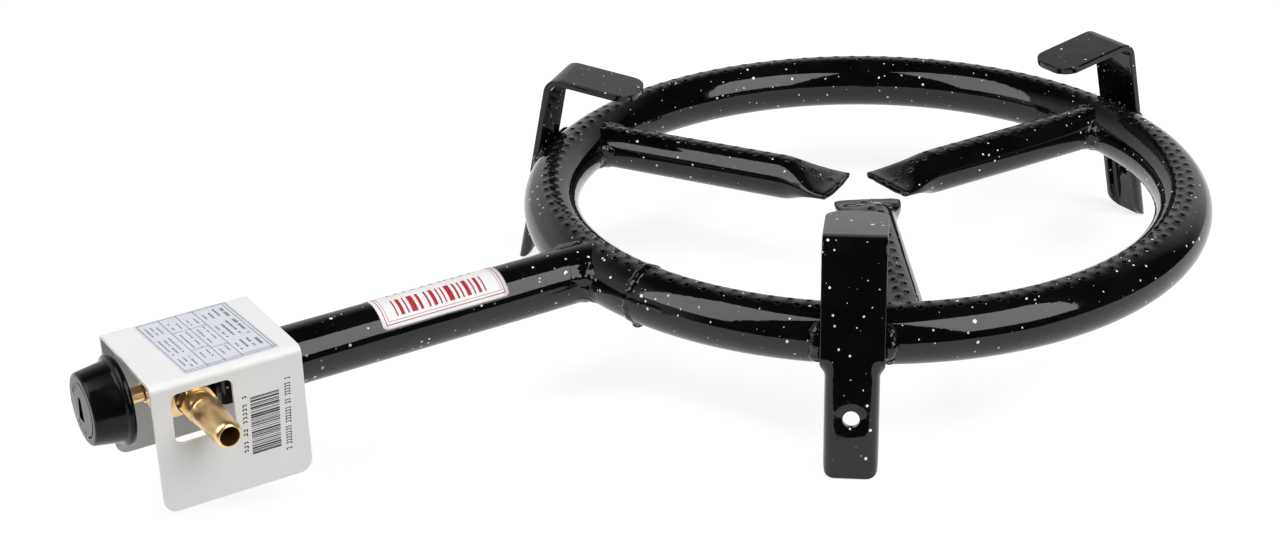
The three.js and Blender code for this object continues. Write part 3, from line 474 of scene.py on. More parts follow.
def perforated(at, long, cells, wrap, hole, rings=RIM, base=0.0, blind=False):
    """A grid of quads in which each cell holds a round port with a soft rim.

    at(k, j, depth) is the surface, here at the depth of base; cells are (k, j) of their low corners.
    hole is a step's length and width. rings are the port's loops as shares of its radius with their depths,
    and a blind port has a floor.
    """
    points, faces, known = [], [], {}

    def grid(k, j):
        key = (k % long, j)
        if key not in known:
            known[key] = len(points)
            points.append(at(*key, base))
        return known[key]

    taken = set()
    for k0, j0 in cells:
        taken |= {((k0 + k) % long, j0 + j) for k in range(CELL_LONG) for j in range(CELL_WIDE)}
    for k in range(long if wrap else long - 1):
        for j in range(BAND):
            if (k, j) not in taken:
                faces.append((grid(k, j), grid(k + 1, j), grid(k + 1, j + 1), grid(k, j + 1)))
    edge = [(k, 0) for k in range(CELL_LONG)] + [(CELL_LONG, j) for j in range(CELL_WIDE)]
    edge += [(CELL_LONG - k, CELL_WIDE - j) for k, j in edge]
    for k0, j0 in cells:
        loop = [grid(k0 + k, j0 + j) for k, j in edge]
        wobble = 1 + 0.10 * ripple(k0 * 0.37, j0 * 1.7, 2.2)
        for share, depth in rings:
            r = share * PORT * wobble
            fresh = []
            for k, j in edge:
                a = atan2((j - HALF_WIDE) * hole[1], (k - HALF_LONG) * hole[0])
                place = (k0 + HALF_LONG + r * cos(a) / hole[0], j0 + HALF_WIDE + r * sin(a) / hole[1])
                fresh.append(len(points))
                points.append(at(*place, depth))
            for s in range(len(edge)):
                t = (s + 1) % len(edge)
                faces.append((loop[s], loop[t], fresh[t], fresh[s]))
            loop = fresh
        if blind:
            faces.append(tuple(loop))
    return points, faces


def ring_point(azimuth, around, radius):
    out = RING + radius * cos(around)
    return (out * cos(azimuth), out * sin(azimuth), radius * sin(around))


def ring_skin():
    """The ring tube, outside and inside, with two staggered rows of ports on its crown."""
    steps = RING_PORTS * CELL_LONG
    step = 2 * pi / steps
    low, rise = radians(70), radians(5)

    def crown(k, j, depth):
        return ring_point(k * step, low + j * rise, TUBE - depth)

    starts, stagger = range(0, steps, CELL_LONG), CELL_LONG // 4
    cells = [(k - stagger, 0) for k in starts] + [(k + stagger, CELL_WIDE) for k in starts]
    hole = (RING * step, TUBE * rise)
    parts = [
        perforated(crown, steps, cells, True, hole),
        perforated(crown, steps, cells, True, hole, [(1.0, WALL)], WALL),
    ]
    for radius, sides in ((TUBE, 28), (TUBE - WALL, 14)):
        arounds = [radians(110 + 320 * j / sides) for j in range(sides + 1)]
        rest = [[ring_point(k * step, a, radius) for a in arounds] for k in range(steps)]
        parts.append(skin(rest, close_rows=True, close_ring=False))
    return merged(*parts)


def spoke_half_sizes(distance):
    """A spoke's half width, half height and squareness: a round tube that is crimped flat near the centre."""
    share = within((distance - 13) / 27)
    roundness = share ** 3 * (share * (share * 6 - 15) + 10)
    flat_width, flat_height, tube = 29, 3.4, 2 * SPOKE
    half_width = (flat_width + (tube - flat_width) * roundness) / 2
    half_height = (flat_height + (tube - flat_height) * roundness) / 2
    return half_width, half_height, 2 + 2.2 * (1 - roundness) ** 2


def spoke_skin(seed):
    """A spoke along X, from inside the ring tube to its crimped end, with its ports on top."""
    first, step, steps = 134.0, PITCH / CELL_LONG, 126
    ports, ring_inside = 14, RING - TUBE

    def section(distance, y):
        width, height, power = spoke_half_sizes(distance)
        return height * max(0.0, 1 - (abs(y) / width) ** power) ** (1 / power)

    def crown(k, j, depth):
        distance, y = first - k * step, j - CELL_WIDE
        return (distance, y, section(distance, y) - depth)

    def bulge(value, power):
        return copysign(abs(value) ** (2 / power), value)

    cells = []
    for port in range(ports):
        near = round((first - ring_inside) / step + CELL_LONG * port + 1)
        cells += [(near - HALF_LONG, 0), (near, CELL_WIDE)]
    cells.append((near + HALF_LONG, 0))
    top = perforated(crown, steps, cells, False, (step, 1.0), blind=True)
    rest = []
    for k in range(steps):
        distance = first - k * step
        width, height, power = spoke_half_sizes(distance)
        start = acos(min(1.0, (section(distance, CELL_WIDE) / height) ** (power / 2)))
        angles = [start + (2 * pi - 2 * start) * s / 28 for s in range(29)]
        row = [(distance, width * bulge(sin(a), power), height * bulge(cos(a), power)) for a in angles]
        row[0], row[-1] = crown(k, BAND, 0), crown(k, 0, 0)
        rest.append(row)
    rim, end = (rest[k] + [crown(k, j, 0) for j in range(1, BAND)] for k in (steps - 1, 0))
    tip = first - (steps - 1) * step
    rows = [rim]
    # the crimped end closes in uneven rings, each drawn in, flattened and moved back along the spoke
    closing = [(0.3, 0.86, -0.5), (0.9, 0.5, -0.75), (1.6, 0.3, -0.6), (1.8, 0.16, 1.2), (2.4, 0.12, 4.0)]
    for inset, squeeze, back in closing:
        row = []
        for _, y, z in rim:
            slow, fast = ripple(y * 0.35, seed, 0.2), ripple(y * 1.3, seed, z)
            lift = 0.25 * ripple(y * 0.5, seed, 3)
            row.append((tip + back + 0.9 * slow + 0.35 * fast, y * (1 - inset / 14.5), z * squeeze + lift))
        rows.append(row)
    return merged(top, skin(rest, close_ring=False), skin(rows, caps=(False, True)), (end, [tuple(range(len(end)))]))


def joint_weld(axis_radius, inner, reach, crown_reach, seed, patch=0.0):
    """The lumpy fillet where a tube along X meets the ring tube, on the ring's inner or outer side.

    The patch is how much further the weld runs out along the top of the tube."""
    side = -1 if inner else 1
    rows = []
    for a in turns(120):
        y, z = axis_radius * sin(a), axis_radius * cos(a)
        rho = RING + side * sqrt(max(TUBE ** 2 - z ** 2, 0.0))
        x = sqrt(rho ** 2 - y ** 2)
        corner = Vector((x, y, z))
        share = within((cos(a) - 0.2) / 0.6)
        size = reach + (crown_reach - reach) * eased(share)
        size *= 1 + 0.45 * ripple(sin(a) * 1.7, cos(a) * 1.7, seed)
        around = atan2(z, rho - RING) + side * cos(a) * size / TUBE
        on_ring = Vector(ring_point(atan2(y, x) + sin(a) * size / rho, around, TUBE - 0.1))
        run = size + patch * share * (1 + 0.6 * ripple(a * 2, seed, 0))
        sunk = 1 - 0.1 / axis_radius
        on_tube = Vector((x + side * run, y * sunk, z * sunk))
        out = ((on_ring + on_tube) / 2 - corner).normalized()
        row = []
        for t in (k / 10 for k in range(11)):
            p = curved(on_tube, corner, on_ring, t)
            lump = 0.22 + 0.75 * noise.noise(p * 0.42 + Vector((seed, 0, 0))) + 0.3 * noise.noise(p * 1.1)
            lump += 0.07 * patch * share
            row.append(tuple(p + out * lump * sin(pi * t) ** 0.8))
        row.append(tuple(corner - out * 0.9))
        rows.append(row)
    return skin(rows, close_rows=True)


def feed_tube():
    """The feed tube; rings near both ends keep the long faces' shading straight."""
    bore = FEED - WALL
    profile = [(x, FEED) for x in (-139.0, -139.6, -145.0, MOUTH + 6.0, MOUTH + 1.2, MOUTH + 0.6)]
    profile += [(MOUTH + 0.15, FEED - 0.15), (MOUTH, FEED - 0.6), (MOUTH, bore + 0.3)]
    profile += [(x, bore) for x in (MOUTH + 0.3, MOUTH + 1.2, -141.6, -141.0)]
    return turned(profile, 72, at=(0, 0, 0))


# ---- legs


def leg_line():
    """The strip's middle line, in plan from the ring's centre and in height: its corner, its two ways, its run."""
    middle = TUBE + 0.3 + LEG_SKIN

    def at_height(height):
        return Vector((RING + (middle - height * sin(LEAN)) / cos(LEAN), height))

    corner, foot = at_height(REST_TOP), at_height(-FOOT_DROP)
    rest = Vector((-cos(SLOPE), -sin(SLOPE)))
    down = Vector((sin(LEAN), -cos(LEAN)))
    return corner, rest, down, (foot - corner).length


def leg_stations():
    """Places along the strip: middle, way, and how far each is from the rest's tip and from the foot's end."""
    rest_length, bend = 40, 5.5
    corner, rest, down, run = leg_line()
    turn = acos(-rest.dot(down))
    stations = []
    ends = [1 - cos(radians(7.5 * s)) for s in (0.6, 1, 1.5, *range(2, 13))]
    for share in ends:
        stations.append((corner + rest * (rest_length - share * REST_END), -rest, share * REST_END, None))
    centre = corner + (rest + down).normalized() * bend / sin(turn / 2)
    start = corner + rest * (bend / tan(turn / 2)) - centre
    for s in range(11):
        angle = -(pi - turn) * s / 10
        c, n = cos(angle), sin(angle)
        spoke = Vector((start.x * c - start.y * n, start.x * n + start.y * c))
        way = Vector((-rest.x * c + rest.y * n, -rest.x * n - rest.y * c))
        stations.append((centre + spoke, way, None, None))
    lower = [FOLD + 24, FOLD + 12] + [FOLD - RAMP * s / 12 for s in range(13)]
    lower += [34.0] + [31.5 - 0.8 * s for s in range(20)] + [12.0] + [share * FOOT_END for share in reversed(ends)]
    for from_foot in lower:
        stations.append((corner + down * (run - from_foot), down, None, from_foot))
    return stations


def leg_rows():
    """Outer and inner rows of points across each station of the strip."""
    outer, inner = [], []
    full, radius_full, flat_half = radians(78), 3.2, 5.7
    arc = radius_full * full
    bends = [round(flat_half + arc * s / 6, 4) for s in range(1, 7)]
    places = [(p, 0) for p in (0, 2, 4, flat_half, *bends, 11.0, 11.9)]
    places += [(12.2, 0.08), (12.42, 0.3), (LEG_HALF, 0.6)]
    for place, way, from_tip, from_foot in leg_stations():
        half, thin, angle = LEG_HALF, 1.0, 1e-5
        if from_tip is not None:
            half *= max(0.0, 1 - (1 - from_tip / REST_END) ** 2.3) ** (1 / 2.3)
            thin = 0.4 + 0.6 * sqrt(1 - (1 - min(from_tip / 0.6, 1)) ** 2)
        if from_foot is not None:
            if from_foot < FOOT_END:
                half *= 0.48 + 0.52 * sqrt(max(0.0, 1 - (1 - from_foot / FOOT_END) ** 2))
            angle = max(angle, full * eased(within((FOLD - from_foot) / RAMP)))
        radius = radius_full * full / angle
        out = Vector((-way.y, way.x))
        for rows, offset in ((outer, LEG_SKIN), (inner, -LEG_SKIN)):
            side = []
            for whole, dip in places:
                p = whole * half / LEG_HALF
                level = copysign(LEG_SKIN * thin - dip * thin, offset)
                if from_foot is not None:
                    # the sheet is dished a little round the bolt hole
                    apart = min(hypot(p, from_foot - BOLT) / 7.0, 1)
                    level -= 0.7 * (0.5 + 0.5 * cos(pi * apart))
                bent = min(max(p - flat_half, 0), arc)
                beyond = max(p - flat_half - arc, 0)
                turn = bent / radius
                across = p - bent - beyond + radius * sin(turn) + beyond * cos(turn)
                inward = radius * (1 - cos(turn)) + beyond * sin(turn)
                side.append((across + level * sin(turn), level * cos(turn) - inward))
            line = [(-a, o) for a, o in reversed(side[1:])] + side
            rows.append([(place.x + out.x * o, a, place.y + out.y * o) for a, o in line])
    return outer, inner


def leg(index, azimuth):
    outer, inner = leg_rows()
    rows = [o + i[::-1] for o, i in zip(outer, inner)]
    points, faces = skin(rows)
    count, half = len(rows[0]), len(outer[0])
    for base in (0, (len(rows) - 1) * count):
        faces += [(base + s, base + s + 1, base + count - 2 - s, base + count - 1 - s) for s in range(half - 1)]
    corner, _, down, run = leg_line()
    hole = corner + down * (run - BOLT)
    c, n = cos(LEAN), sin(LEAN)
    drill, radius, reach = [], 3.3, 8
    for along in (-reach, reach):
        circle = [(radius * cos(a), radius * sin(a)) for a in turns(40)]
        drill.append([(hole.x + along * c - v * n, u, hole.y + along * n + v * c) for u, v in circle])
    # the lowest and highest that keep the strip inside the CAD box
    points = [(x, y, min(max(z, -50.3), 42.06)) for x, y, z in points]
    enamelled(f"leg_{index}_strip", spun((points, faces), azimuth), f"leg_{index}", bevel=(0.5, 50, 2),
              cut=spun(skin(drill, caps=(True, True)), azimuth))


def leg_welds(index, azimuth):
    """Beads between the leg's back and the ring, one down each edge."""
    parts = []
    reach = TUBE - 0.5
    for side in (-1, 1):
        line = []
        for s in range(17):
            around = radians(-42 + 86 * s / 16)
            lateral = side * (13.9 + 1.4 * ripple(s * 0.3, index, side))
            out = RING + reach * cos(around)
            line.append((sqrt(out ** 2 - lateral ** 2), lateral, reach * sin(around)))
        parts.append(bead(line, 3.1, 0.5, 18, index * 3.1 + side))
    enamelled(f"leg_{index}_weld", spun(merged(*parts), azimuth))


# ---- burner


def build_burner():
    enamelled("ring_skin", ring_skin(), "ring_tube")
    for k, turn in enumerate(turns(3)):
        enamelled(f"spoke_{k + 1}_skin", spun(spoke_skin(4.7 * k), turn), f"spoke_tube_{k + 1}")
        enamelled(f"spoke_{k + 1}_weld", spun(joint_weld(SPOKE, True, 4.6, 1.6, k * 2.7), turn))
    enamelled("feed_tube_skin", feed_tube(), "feed_tube", sharp=50)
    enamelled("feed_weld", spun(joint_weld(FEED, False, 6.0, 2.0, 7.3, patch=8.0), pi))
    seam = radians(193.9)
    line = [ring_point(seam + 0.006 * sin(2 * a), a, TUBE - 2.3) for a in turns(56)]
    drip = drop(ring_point(seam - 0.012, radians(-75), TUBE + 0.6), 2.2)
    enamelled("ring_butt_weld", merged(bead(line, 3.3, 0.36, 20, 4.4, closed=True), drip))
    for index, turn in enumerate(LEGS, 1):
        leg(index, turn)
        leg_welds(index, turn)


def strap(corners, radius, thickness):
    """A sheet bent round rounded corners in plan, as high as the tap's yoke."""
    low, high, steps = TAP_Z - 7.2, TAP_Z + 7.2, 6
    corners = [Vector(corner) for corner in corners]
    line = corners[:1]
    for before, corner, after in zip(corners, corners[1:], corners[2:]):
        a = corner - (corner - before).normalized() * radius
        b = corner + (after - corner).normalized() * radius
        line += [curved(a, corner, b, s / steps) for s in range(steps + 1)]
    line.append(corners[-1])
    rows = []
    for k, p in enumerate(line):
        before, after = line[max(k - 1, 0)], line[min(k + 1, len(line) - 1)]
        way = (after - before).normalized()
        side = Vector((-way.y, way.x)) * thickness / 2
        a, b = p + side, p - side
        rows.append([(a.x, a.y, low), (a.x, a.y, high), (b.x, b.y, high), (b.x, b.y, low)])
    return skin(rows, caps=(True, True))


def build_mouth():
    side, web = FEED + 1.3, -308.5
    yoke = strap([(-283, -side), (web, -side), (web, side), (-283, side)], 2.6, 2.0)
    enamelled("mouth_yoke_strap", yoke, "mouth_yoke", bevel=(0.4,))
    web, arm = -310.55, SHIELD_HALF - WALL - 0.3 - 0.75
    angle = strap([(web, -8), (web, arm), (-327.3, arm)], 2.2, WALL)
    enamelled("shield_bracket_angle", angle, "shield_bracket", bevel=(0.3,))


# ---- shield


def rounded(left, low, right, high, radius, steps=8):
    """A rectangle's outline with rounded corners."""
    out = []
    x1, y1, x2, y2 = left + radius, low + radius, right - radius, high - radius
    for x, y, start in ((x1, y1, 180), (x2, y1, 270), (x2, y2, 0), (x1, y2, 90)):
        for s in range(steps + 1):
            a = radians(start + 90 * s / steps)
            out.append((x + radius * cos(a), y + radius * sin(a)))
    return out


def build_shield():
    """The flat blank with its window, bent round the two folds, then given its thickness."""
    bend, half, length = 3.0, SHIELD_HALF, 59.0
    low = SHIELD_TOP - 52.6
    flange = SHIELD_TOP - bend - low
    arc = bend * pi / 2
    span = 2 * (half - bend)
    total = 2 * flange + 2 * arc + span

    def bent(x, s):
        """A point of the outer face at x along the shield and s along its section."""
        side, s = (-1, max(s, 0)) if s < total / 2 else (1, max(total - s, 0))
        if s <= flange:
            return (x, side * half, low + s)
        if s <= flange + arc:
            a = (s - flange) / bend
            return (x, side * (half - bend + bend * cos(a)), SHIELD_TOP - bend + bend * sin(a))
        return (x, side * (half - bend - (s - flange - arc)), SHIELD_TOP)

    left, right = SHIELD_FRONT, SHIELD_FRONT + length
    edge = rounded(left, 0, right, total, 5)
    top = flange + bend - 5.0
    holes = [rounded(left + 7.2, top - 20.5, left + 31.0, top, 3)]
    level = total - (TAP_Z - low)
    for x in (-324.0, -316.0):
        holes.append([(x + 1.8 * cos(a), level + 1.8 * sin(a)) for a in turns(20)])
    verts, edges = [], []
    for loop in (edge, *holes):
        base = len(verts)
        verts += [Vector(p) for p in loop]
        edges += [(base + k, base + (k + 1) % len(loop)) for k in range(len(loop))]
    for s in [start + arc * k / 8 for start in (flange, flange + arc + span) for k in range(9)]:
        base = len(verts)
        verts += [Vector((left + length * k / 12, s)) for k in range(13)]
        edges += [(base + k, base + k + 1) for k in range(12)]
    points, _, faces, *_ = delaunay_2d_cdt(verts, edges, [], 0, 1e-4)
    kept = []
    for face in faces:
        centre = sum((points[i] for i in face), Vector((0, 0))) / len(face)
        if inside(centre, edge) and not any(inside(centre, h) for h in holes):
            kept.append(tuple(face))
    sheet = ([bent(p.x, p.y) for p in points], kept)
    obj = piece("control_shield_sheet", sheet, "burner", "white_paint", PAINT, ["control_shield"])
    thicken(obj, WALL, -1, even=True)
    add_bevel(obj, 0.35, 40, 3)


def inside(p, loop):
    hit = False
    for (x1, y1), (x2, y2) in zip(loop, loop[1:] + loop[:1]):
        if (y1 > p.y) != (y2 > p.y) and p.x < (x2 - x1) * (p.y - y1) / (y2 - y1) + x1:
            hit = not hit
    return hit


# ---- tap


def build_tap():
    shoulder, seat = -311.6, BODY_FRONT + 4.2
    profile = [(seat, 5.9), (seat, 7.3), (-320.9, 7.3), (-320.9, 9.6), (-320.4, 10), (shoulder - 0.8, 10)]
    profile += [(shoulder, 9.2), (shoulder, 4), (-303, 4), (-302.9, 3.4), (-302.9, 2.6), (-306.6, 2.6)]
    profile += [(-306.6, 1.8), (seat + 9.6, 1.8), (seat + 9.6, 4.4)]
    body = turned(profile, 56)
    collar = hexagon(BODY_FRONT, BODY_FRONT + 5.6, 21, 7.1, 0.7)
    boss = [(6.5, 0), (6.5, 7.2), (13.0, 7.2), (13.6, 6.7), (13.6, 5.3), (9, 5.3), (9, 0)]
    brazen("tap_body_brass", "tap_body", body, collar, turned(boss, 48, "y", (INLET, 0, TAP_Z)))
    nose = [(BONNET_FRONT + 0.2, 4.1), (BONNET_FRONT - 2.1, 4.1), (BONNET_FRONT - 2.5, 3.7)]
    nose += [(BONNET_FRONT - 2.5, 3.3), (BONNET_FRONT + 0.2, 3.3)]
    thread = [(BODY_FRONT - 0.5, 7), (BODY_FRONT + 3.4, 7), (BODY_FRONT + 3.6, 5.5), (BODY_FRONT - 0.5, 5.5)]
    brazen("bonnet_brass", "bonnet", hexagon(BONNET_FRONT, BODY_FRONT - 0.3, 14, 3.4, 0.6),
           turned(nose, 40), turned(thread, 40))
    brazen("tap_locknut_brass", "tap_locknut", hexagon(-307.2, -303.2, 13, 4.2, 0.5))
    jet = [(-299.7, 0.4), (-299.7, 2.2), (-296, 2.2), (-294.9, 1.5), (-294.6, 1.1), (-294.6, 0.4)]
    stem = [(-306.4, 1.1), (-306.4, 2.4), (-302.5, 2.4), (-302.5, 1.1)]
    brazen("injector_brass", "injector", hexagon(-302.6, -299.6, 7, 0.5, 0.3),
           turned(jet, 28), turned(stem, 28))
    build_spindle()
    build_plug_spring()
    build_barb()


def build_spindle():
    """A round shaft with a flat under the knob, a collar, and the tongue that turns the plug."""
    tip, back, flat_end = -352.9, -328.9, KNOB_BACK + 6.5
    rows = []
    for a in turns(40):
        row = []
        for along, radius in ((tip, 0), (tip, 2.6), (tip + 0.4, 3.0), (back, 3.0), (back, 0)):
            v = radius * sin(a)
            if along < flat_end:
                v = min(v, 1.9)
            row.append((along, radius * cos(a), v + TAP_Z))
        rows.append(row)
    shaft = skin(rows, close_rows=True, close_ring=False)
    collar = turned([(back, 0), (back, 5.0), (back + 1, 5.0), (back + 1, 0)], 40)
    tongue = box((-328.4, -1, TAP_Z - 2.5), (-323.6, 1, TAP_Z + 2.5))
    brazen("spindle_brass", "spindle", shaft, collar, tongue, body="knob_set")


def build_plug_spring():
    """The spring that seats the plug: a coil of wire round the tap's axis."""
    coils, steps, length, wire, reach = 3, 40, 4.5, 0.25, 4.6
    start, inner_end = -327.35, -322.6
    rows = []
    for step in range(coils * steps + 1):
        turn = 2 * pi * step / steps
        row = []
        for a in turns(10):
            out = reach + wire * cos(a)
            along = start + length * step / (coils * steps) + wire * sin(a)
            row.append((along, out * cos(turn), out * sin(turn) + TAP_Z))
        rows.append(row)
    shape = skin(rows, caps=(True, True))
    coil = piece("plug_spring_coil", shape, "plug_set", "spring_steel", SPRING, ["plug_spring"])
    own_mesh(coil)


def build_barb():
    base = (INLET, -13.6, TAP_Z)
    washer = turned([(0.3, 5.3), (0.3, 6.8), (0.5, 7), (1.1, 7), (1.3, 6.8), (1.3, 5.3)], 40, "y", base)
    piece("barb_washer_ring", washer, "burner", "rubber", RUBBER, ["barb_washer"], sharp=30)
    hex_end, tip_start = 6.6, 33.2
    ridge = hex_end + 7.6
    profile = [(-5.2, 3.7), (-5.2, 5.0), (hex_end + 0.2, 5.0), (hex_end + 0.5, 5.4), (hex_end + 3.6, 5.4)]
    profile += [(hex_end + 4.0, 5.15), (hex_end + 5.0, 5.15), (hex_end + 5.4, 5.4), (ridge - 0.9, 5.45)]
    profile += [(ridge - 0.7, 6.0), (ridge - 0.5, 6.1), (ridge - 0.1, 6.1), (ridge + 0.1, 5.95), (ridge + 0.3, 5.8)]
    profile += [(ridge + 0.3 + share * (tip_start - ridge), 5.8 - 0.5 * share ** 1.5) for share in (0.25, 0.5, 0.75)]
    profile += [(33.6, 5.3), (34.3, 5.2), (34.9, 5.0), (35.4, 4.7), (35.8, 4.35), (36, 4.05), (35.95, 3.85)]
    profile += [(35.6, 3.72), (35, 3.7)]
    stem = turned(profile, 56, "y", base)
    brazen("hose_barb_brass", "hose_barb", stem, hexagon(1.6, hex_end, 13, 4.9, 0.6, "y", base), sharp=40)


# ---- knob


def build_knob():
    b, f = KNOB_BACK, KNOB_FACE
    profile = [(-353.3, 0), (-353.3, 3.2), (b, 3.2), (b, 5.6), (f + 2.2, 5.6), (f + 2.2, 12.1), (b, 13.6), (b, 17.2)]
    profile += [(b - 0.2, 17.5), (b - 0.6, 17.7), (b - 1.9, 17.7), (b - 2.3, 17.5), (b - 2.7, 17.0), (b - 2.9, 16.2)]
    profile += [(b - 3.3, 15.75), (b - 4.0, 15.6), (f + 1.2, 14.2), (f + 0.7, 14.05), (f + 0.3, 13.75)]
    profile += [(f + 0.05, 13.3), (f, 12.9), (f, 6.0), (f, 0.0)]
    shell = turned(profile, 96)
    piece("knob_shell", shell, "knob_set", "black_plastic", PLASTIC, ["knob"], sharp=38, cut=knob_marks())


def on_face(u, v, depth):
    """A point of the knob's face, u to the right and v up as one looks at it."""
    return (KNOB_FACE + depth, -u, TAP_Z + v)


def knob_marks():
    """What is pressed into the face: the grip's recess, the arc for the flame and the words at its ends."""
    corners = [Vector(p) for p in ((-3.2, 4.2), (-0.6, 4.2), (0.7, -5.4), (-4.6, -5.4))]
    outline = []
    for k, corner in enumerate(corners):
        into, out = (corners[k - 1] - corner).normalized(), (corners[(k + 1) % 4] - corner).normalized()
        outline += [curved(corner + into * 0.9, corner, corner + out * 0.9, s / 4) for s in range(5)]
    parts = [skin([[on_face(p.x, p.y, d) for p in outline] for d in (-1, 1.1)], caps=(True, True))]
    rows = []
    r = 10.7
    for s in range(61):
        a = radians(-12 + 178 * s / 60)
        half = 0.2 + 0.25 * sin(pi * s / 60) ** 0.5
        section = ((r - half, -1), (r + half, -1), (r + half, 0.35), (r, 0.55), (r - half, 0.35))
        rows.append([on_face(q * sin(a), q * cos(a), d) for q, d in section])
    parts.append(skin(rows, caps=(True, True)))
    for word, centre in (("MAX", -46), ("MIN", -162)):
        for k, char in enumerate(word):
            parts.append(letter(char, radians(centre + 17 * (k - 1))))
    return merged(*parts)


def letter(char, angle):
    """A letter as a closed shape through the knob's face, upright at its angle from the top."""
    size, radius = 3.5, 9.2
    curve = bpy.data.curves.new("letter", "FONT")
    curve.body, curve.size, curve.extrude = char, size, 0.45
    curve.align_x = curve.align_y = "CENTER"
    source = linked("letter", curve)
    mesh = evaluated(source)
    bpy.data.objects.remove(source)
    s, c = sin(angle), cos(angle)
    flat = (v.co for v in mesh.vertices)
    points = [on_face(radius * s + x * c + y * s, radius * c - x * s + y * c, z) for x, y, z in flat]
    return points, [tuple(f.vertices) for f in mesh.polygons]


# ---- stickers: lines and bars in place of words


def build_stickers():
    """The label round the feed tube, then the plate and the bars on the shield."""
    tape = FEED + 0.09
    low, high, left, right = radians(-66), radians(52), -239.5, -184.0
    corner = 1.6

    def on_feed(x, a, lift=0.0):
        return (x, (tape + lift) * sin(a), (tape + lift) * cos(a))

    rows = []
    for share in (k / 34 for k in range(35)):
        a = low + (high - low) * (share - 0.035 * sin(2 * pi * share))
        edge = min(a - low, high - a) * FEED
        inset = corner - sqrt(max(0.0, corner ** 2 - max(0.0, corner - edge) ** 2))
        rows.append([on_feed(left + inset + (right - left - 2 * inset) * t / 20, a) for t in range(21)])
    thicken(sticker("feed_sticker", skin(rows, close_ring=False), STICKER), 0.1, 0)
    parts = []

    def patch(x0, x1, a0, a1, cuts=9):
        rows = [[on_feed(x0 + (x1 - x0) * t / 3, a, 0.1) for t in range(4)] for a in np.linspace(a0, a1, cuts)]
        parts.append(skin(rows, close_ring=False))

    for inset, width in ((1.7, 0.16), (2.9, 0.09)):
        a0, a1 = low + inset / FEED, high - inset / FEED
        x0, x1 = left + inset, right - inset
        d = width / FEED
        for x in (x0, x1):
            patch(x - width, x + width, a0 - d, a1 + d, 30)
        for a in (a0, a1):
            patch(x0 + width, x1 - width, a - d, a + d, 2)
    spots = random.Random(5)
    middle, tall = radians(-27), 3.9 / FEED
    short_word, long_word = (0.6, 1.5, 0.6, 2.4, 1.2), (0.8, 1.6, 0.6, 0.6, 2.2, 0.9, 0.7, 1.8, 0.6, 1.3, 0.6)
    for x, widths in ((left + 7.2, short_word), (left + 21.4, long_word)):
        for wide in widths:
            patch(x, x + wide, middle - tall, middle + tall)
            x += wide + 1.35
    x = left + 8
    while x < right - 8:
        patch(x, x + 1.4, radians(14), radians(19), 3)
        x += spots.uniform(2.4, 4.2)
    thicken(sticker("feed_sticker_print", merged(*parts), RED_INK), 0.03, 0)
    plate_sticker()
    bar_sticker()


def plate_sticker():
    """The plate on the shield's top: a frame, columns of small print and cells between them."""
    x0, x1, y0, y1 = -325.6, -288.0, -23.5, 23.7
    line = 0.13

    def askew(x, y):
        return x - 0.05 * (y + 4), y + 0.02 * (x - x0)

    outline = rounded(x0, y0, x1, y1, 1, 4)
    rows = [[(*askew(x, y), SHIELD_TOP + lift) for x, y in outline] for lift in (0.04, 0.12)]
    sticker("rating_sticker", skin(rows, caps=(True, True)), PLATE_FILM, sharp=30)
    parts = []

    def ink(xa, ya, xb, yb):
        points, faces = box((xa, ya, SHIELD_TOP + 0.13), (xb, yb, SHIELD_TOP + 0.16))
        parts.append(([(*askew(x, y), h) for x, y, h in points], faces))

    for x in (x0 + 0.9, x0 + 9.6, x0 + 16.6, x0 + 23.4, x1 - 2.2, x1 - 0.9):
        ink(x - line, y0 + 0.9, x + line, y1 - 0.9)
    for y in (y0 + 0.9, y0 + 2.3, y1 - 0.9):
        ink(x0 + 0.9, y - line, x1 - 0.9, y + line)
    for x, y in ((x0 + 9.6, 9.5), (x0 + 16.6, 9.5), (x0 + 9.6, -7.5), (x0 + 16.6, -9.5)):
        ink(x, y - line, x + 7.0, y + line)
    spots = random.Random(11)
    columns = [(d, 0.28) for d in (2.8, 4.9, 7.0, 11.6, 14.4, 18.6, 21.4)]
    columns += [(25.4, 0.32), (28.0, 0.42), (30.6, 0.4), (33.4, 0.6)]
    for number, (d, tall) in enumerate(columns):
        x = x0 + d
        y, last = y0 + spots.uniform(3.6, 9.0), y1 - spots.uniform(2.5, 8.0)
        if number >= 9:
            y, last = y0 + 6, y1 - 4
        while y < last:
            wide = spots.uniform(0.4, 1.3)
            if spots.random() > 0.2 and not any(abs(y + wide / 2 - e) < 1.6 for e in (-8.5, 9.5)):
                ink(x - tall, y, x + tall, y + wide)
            y += wide + 0.4
    sticker("rating_sticker_print", merged(*parts), GREY_INK)


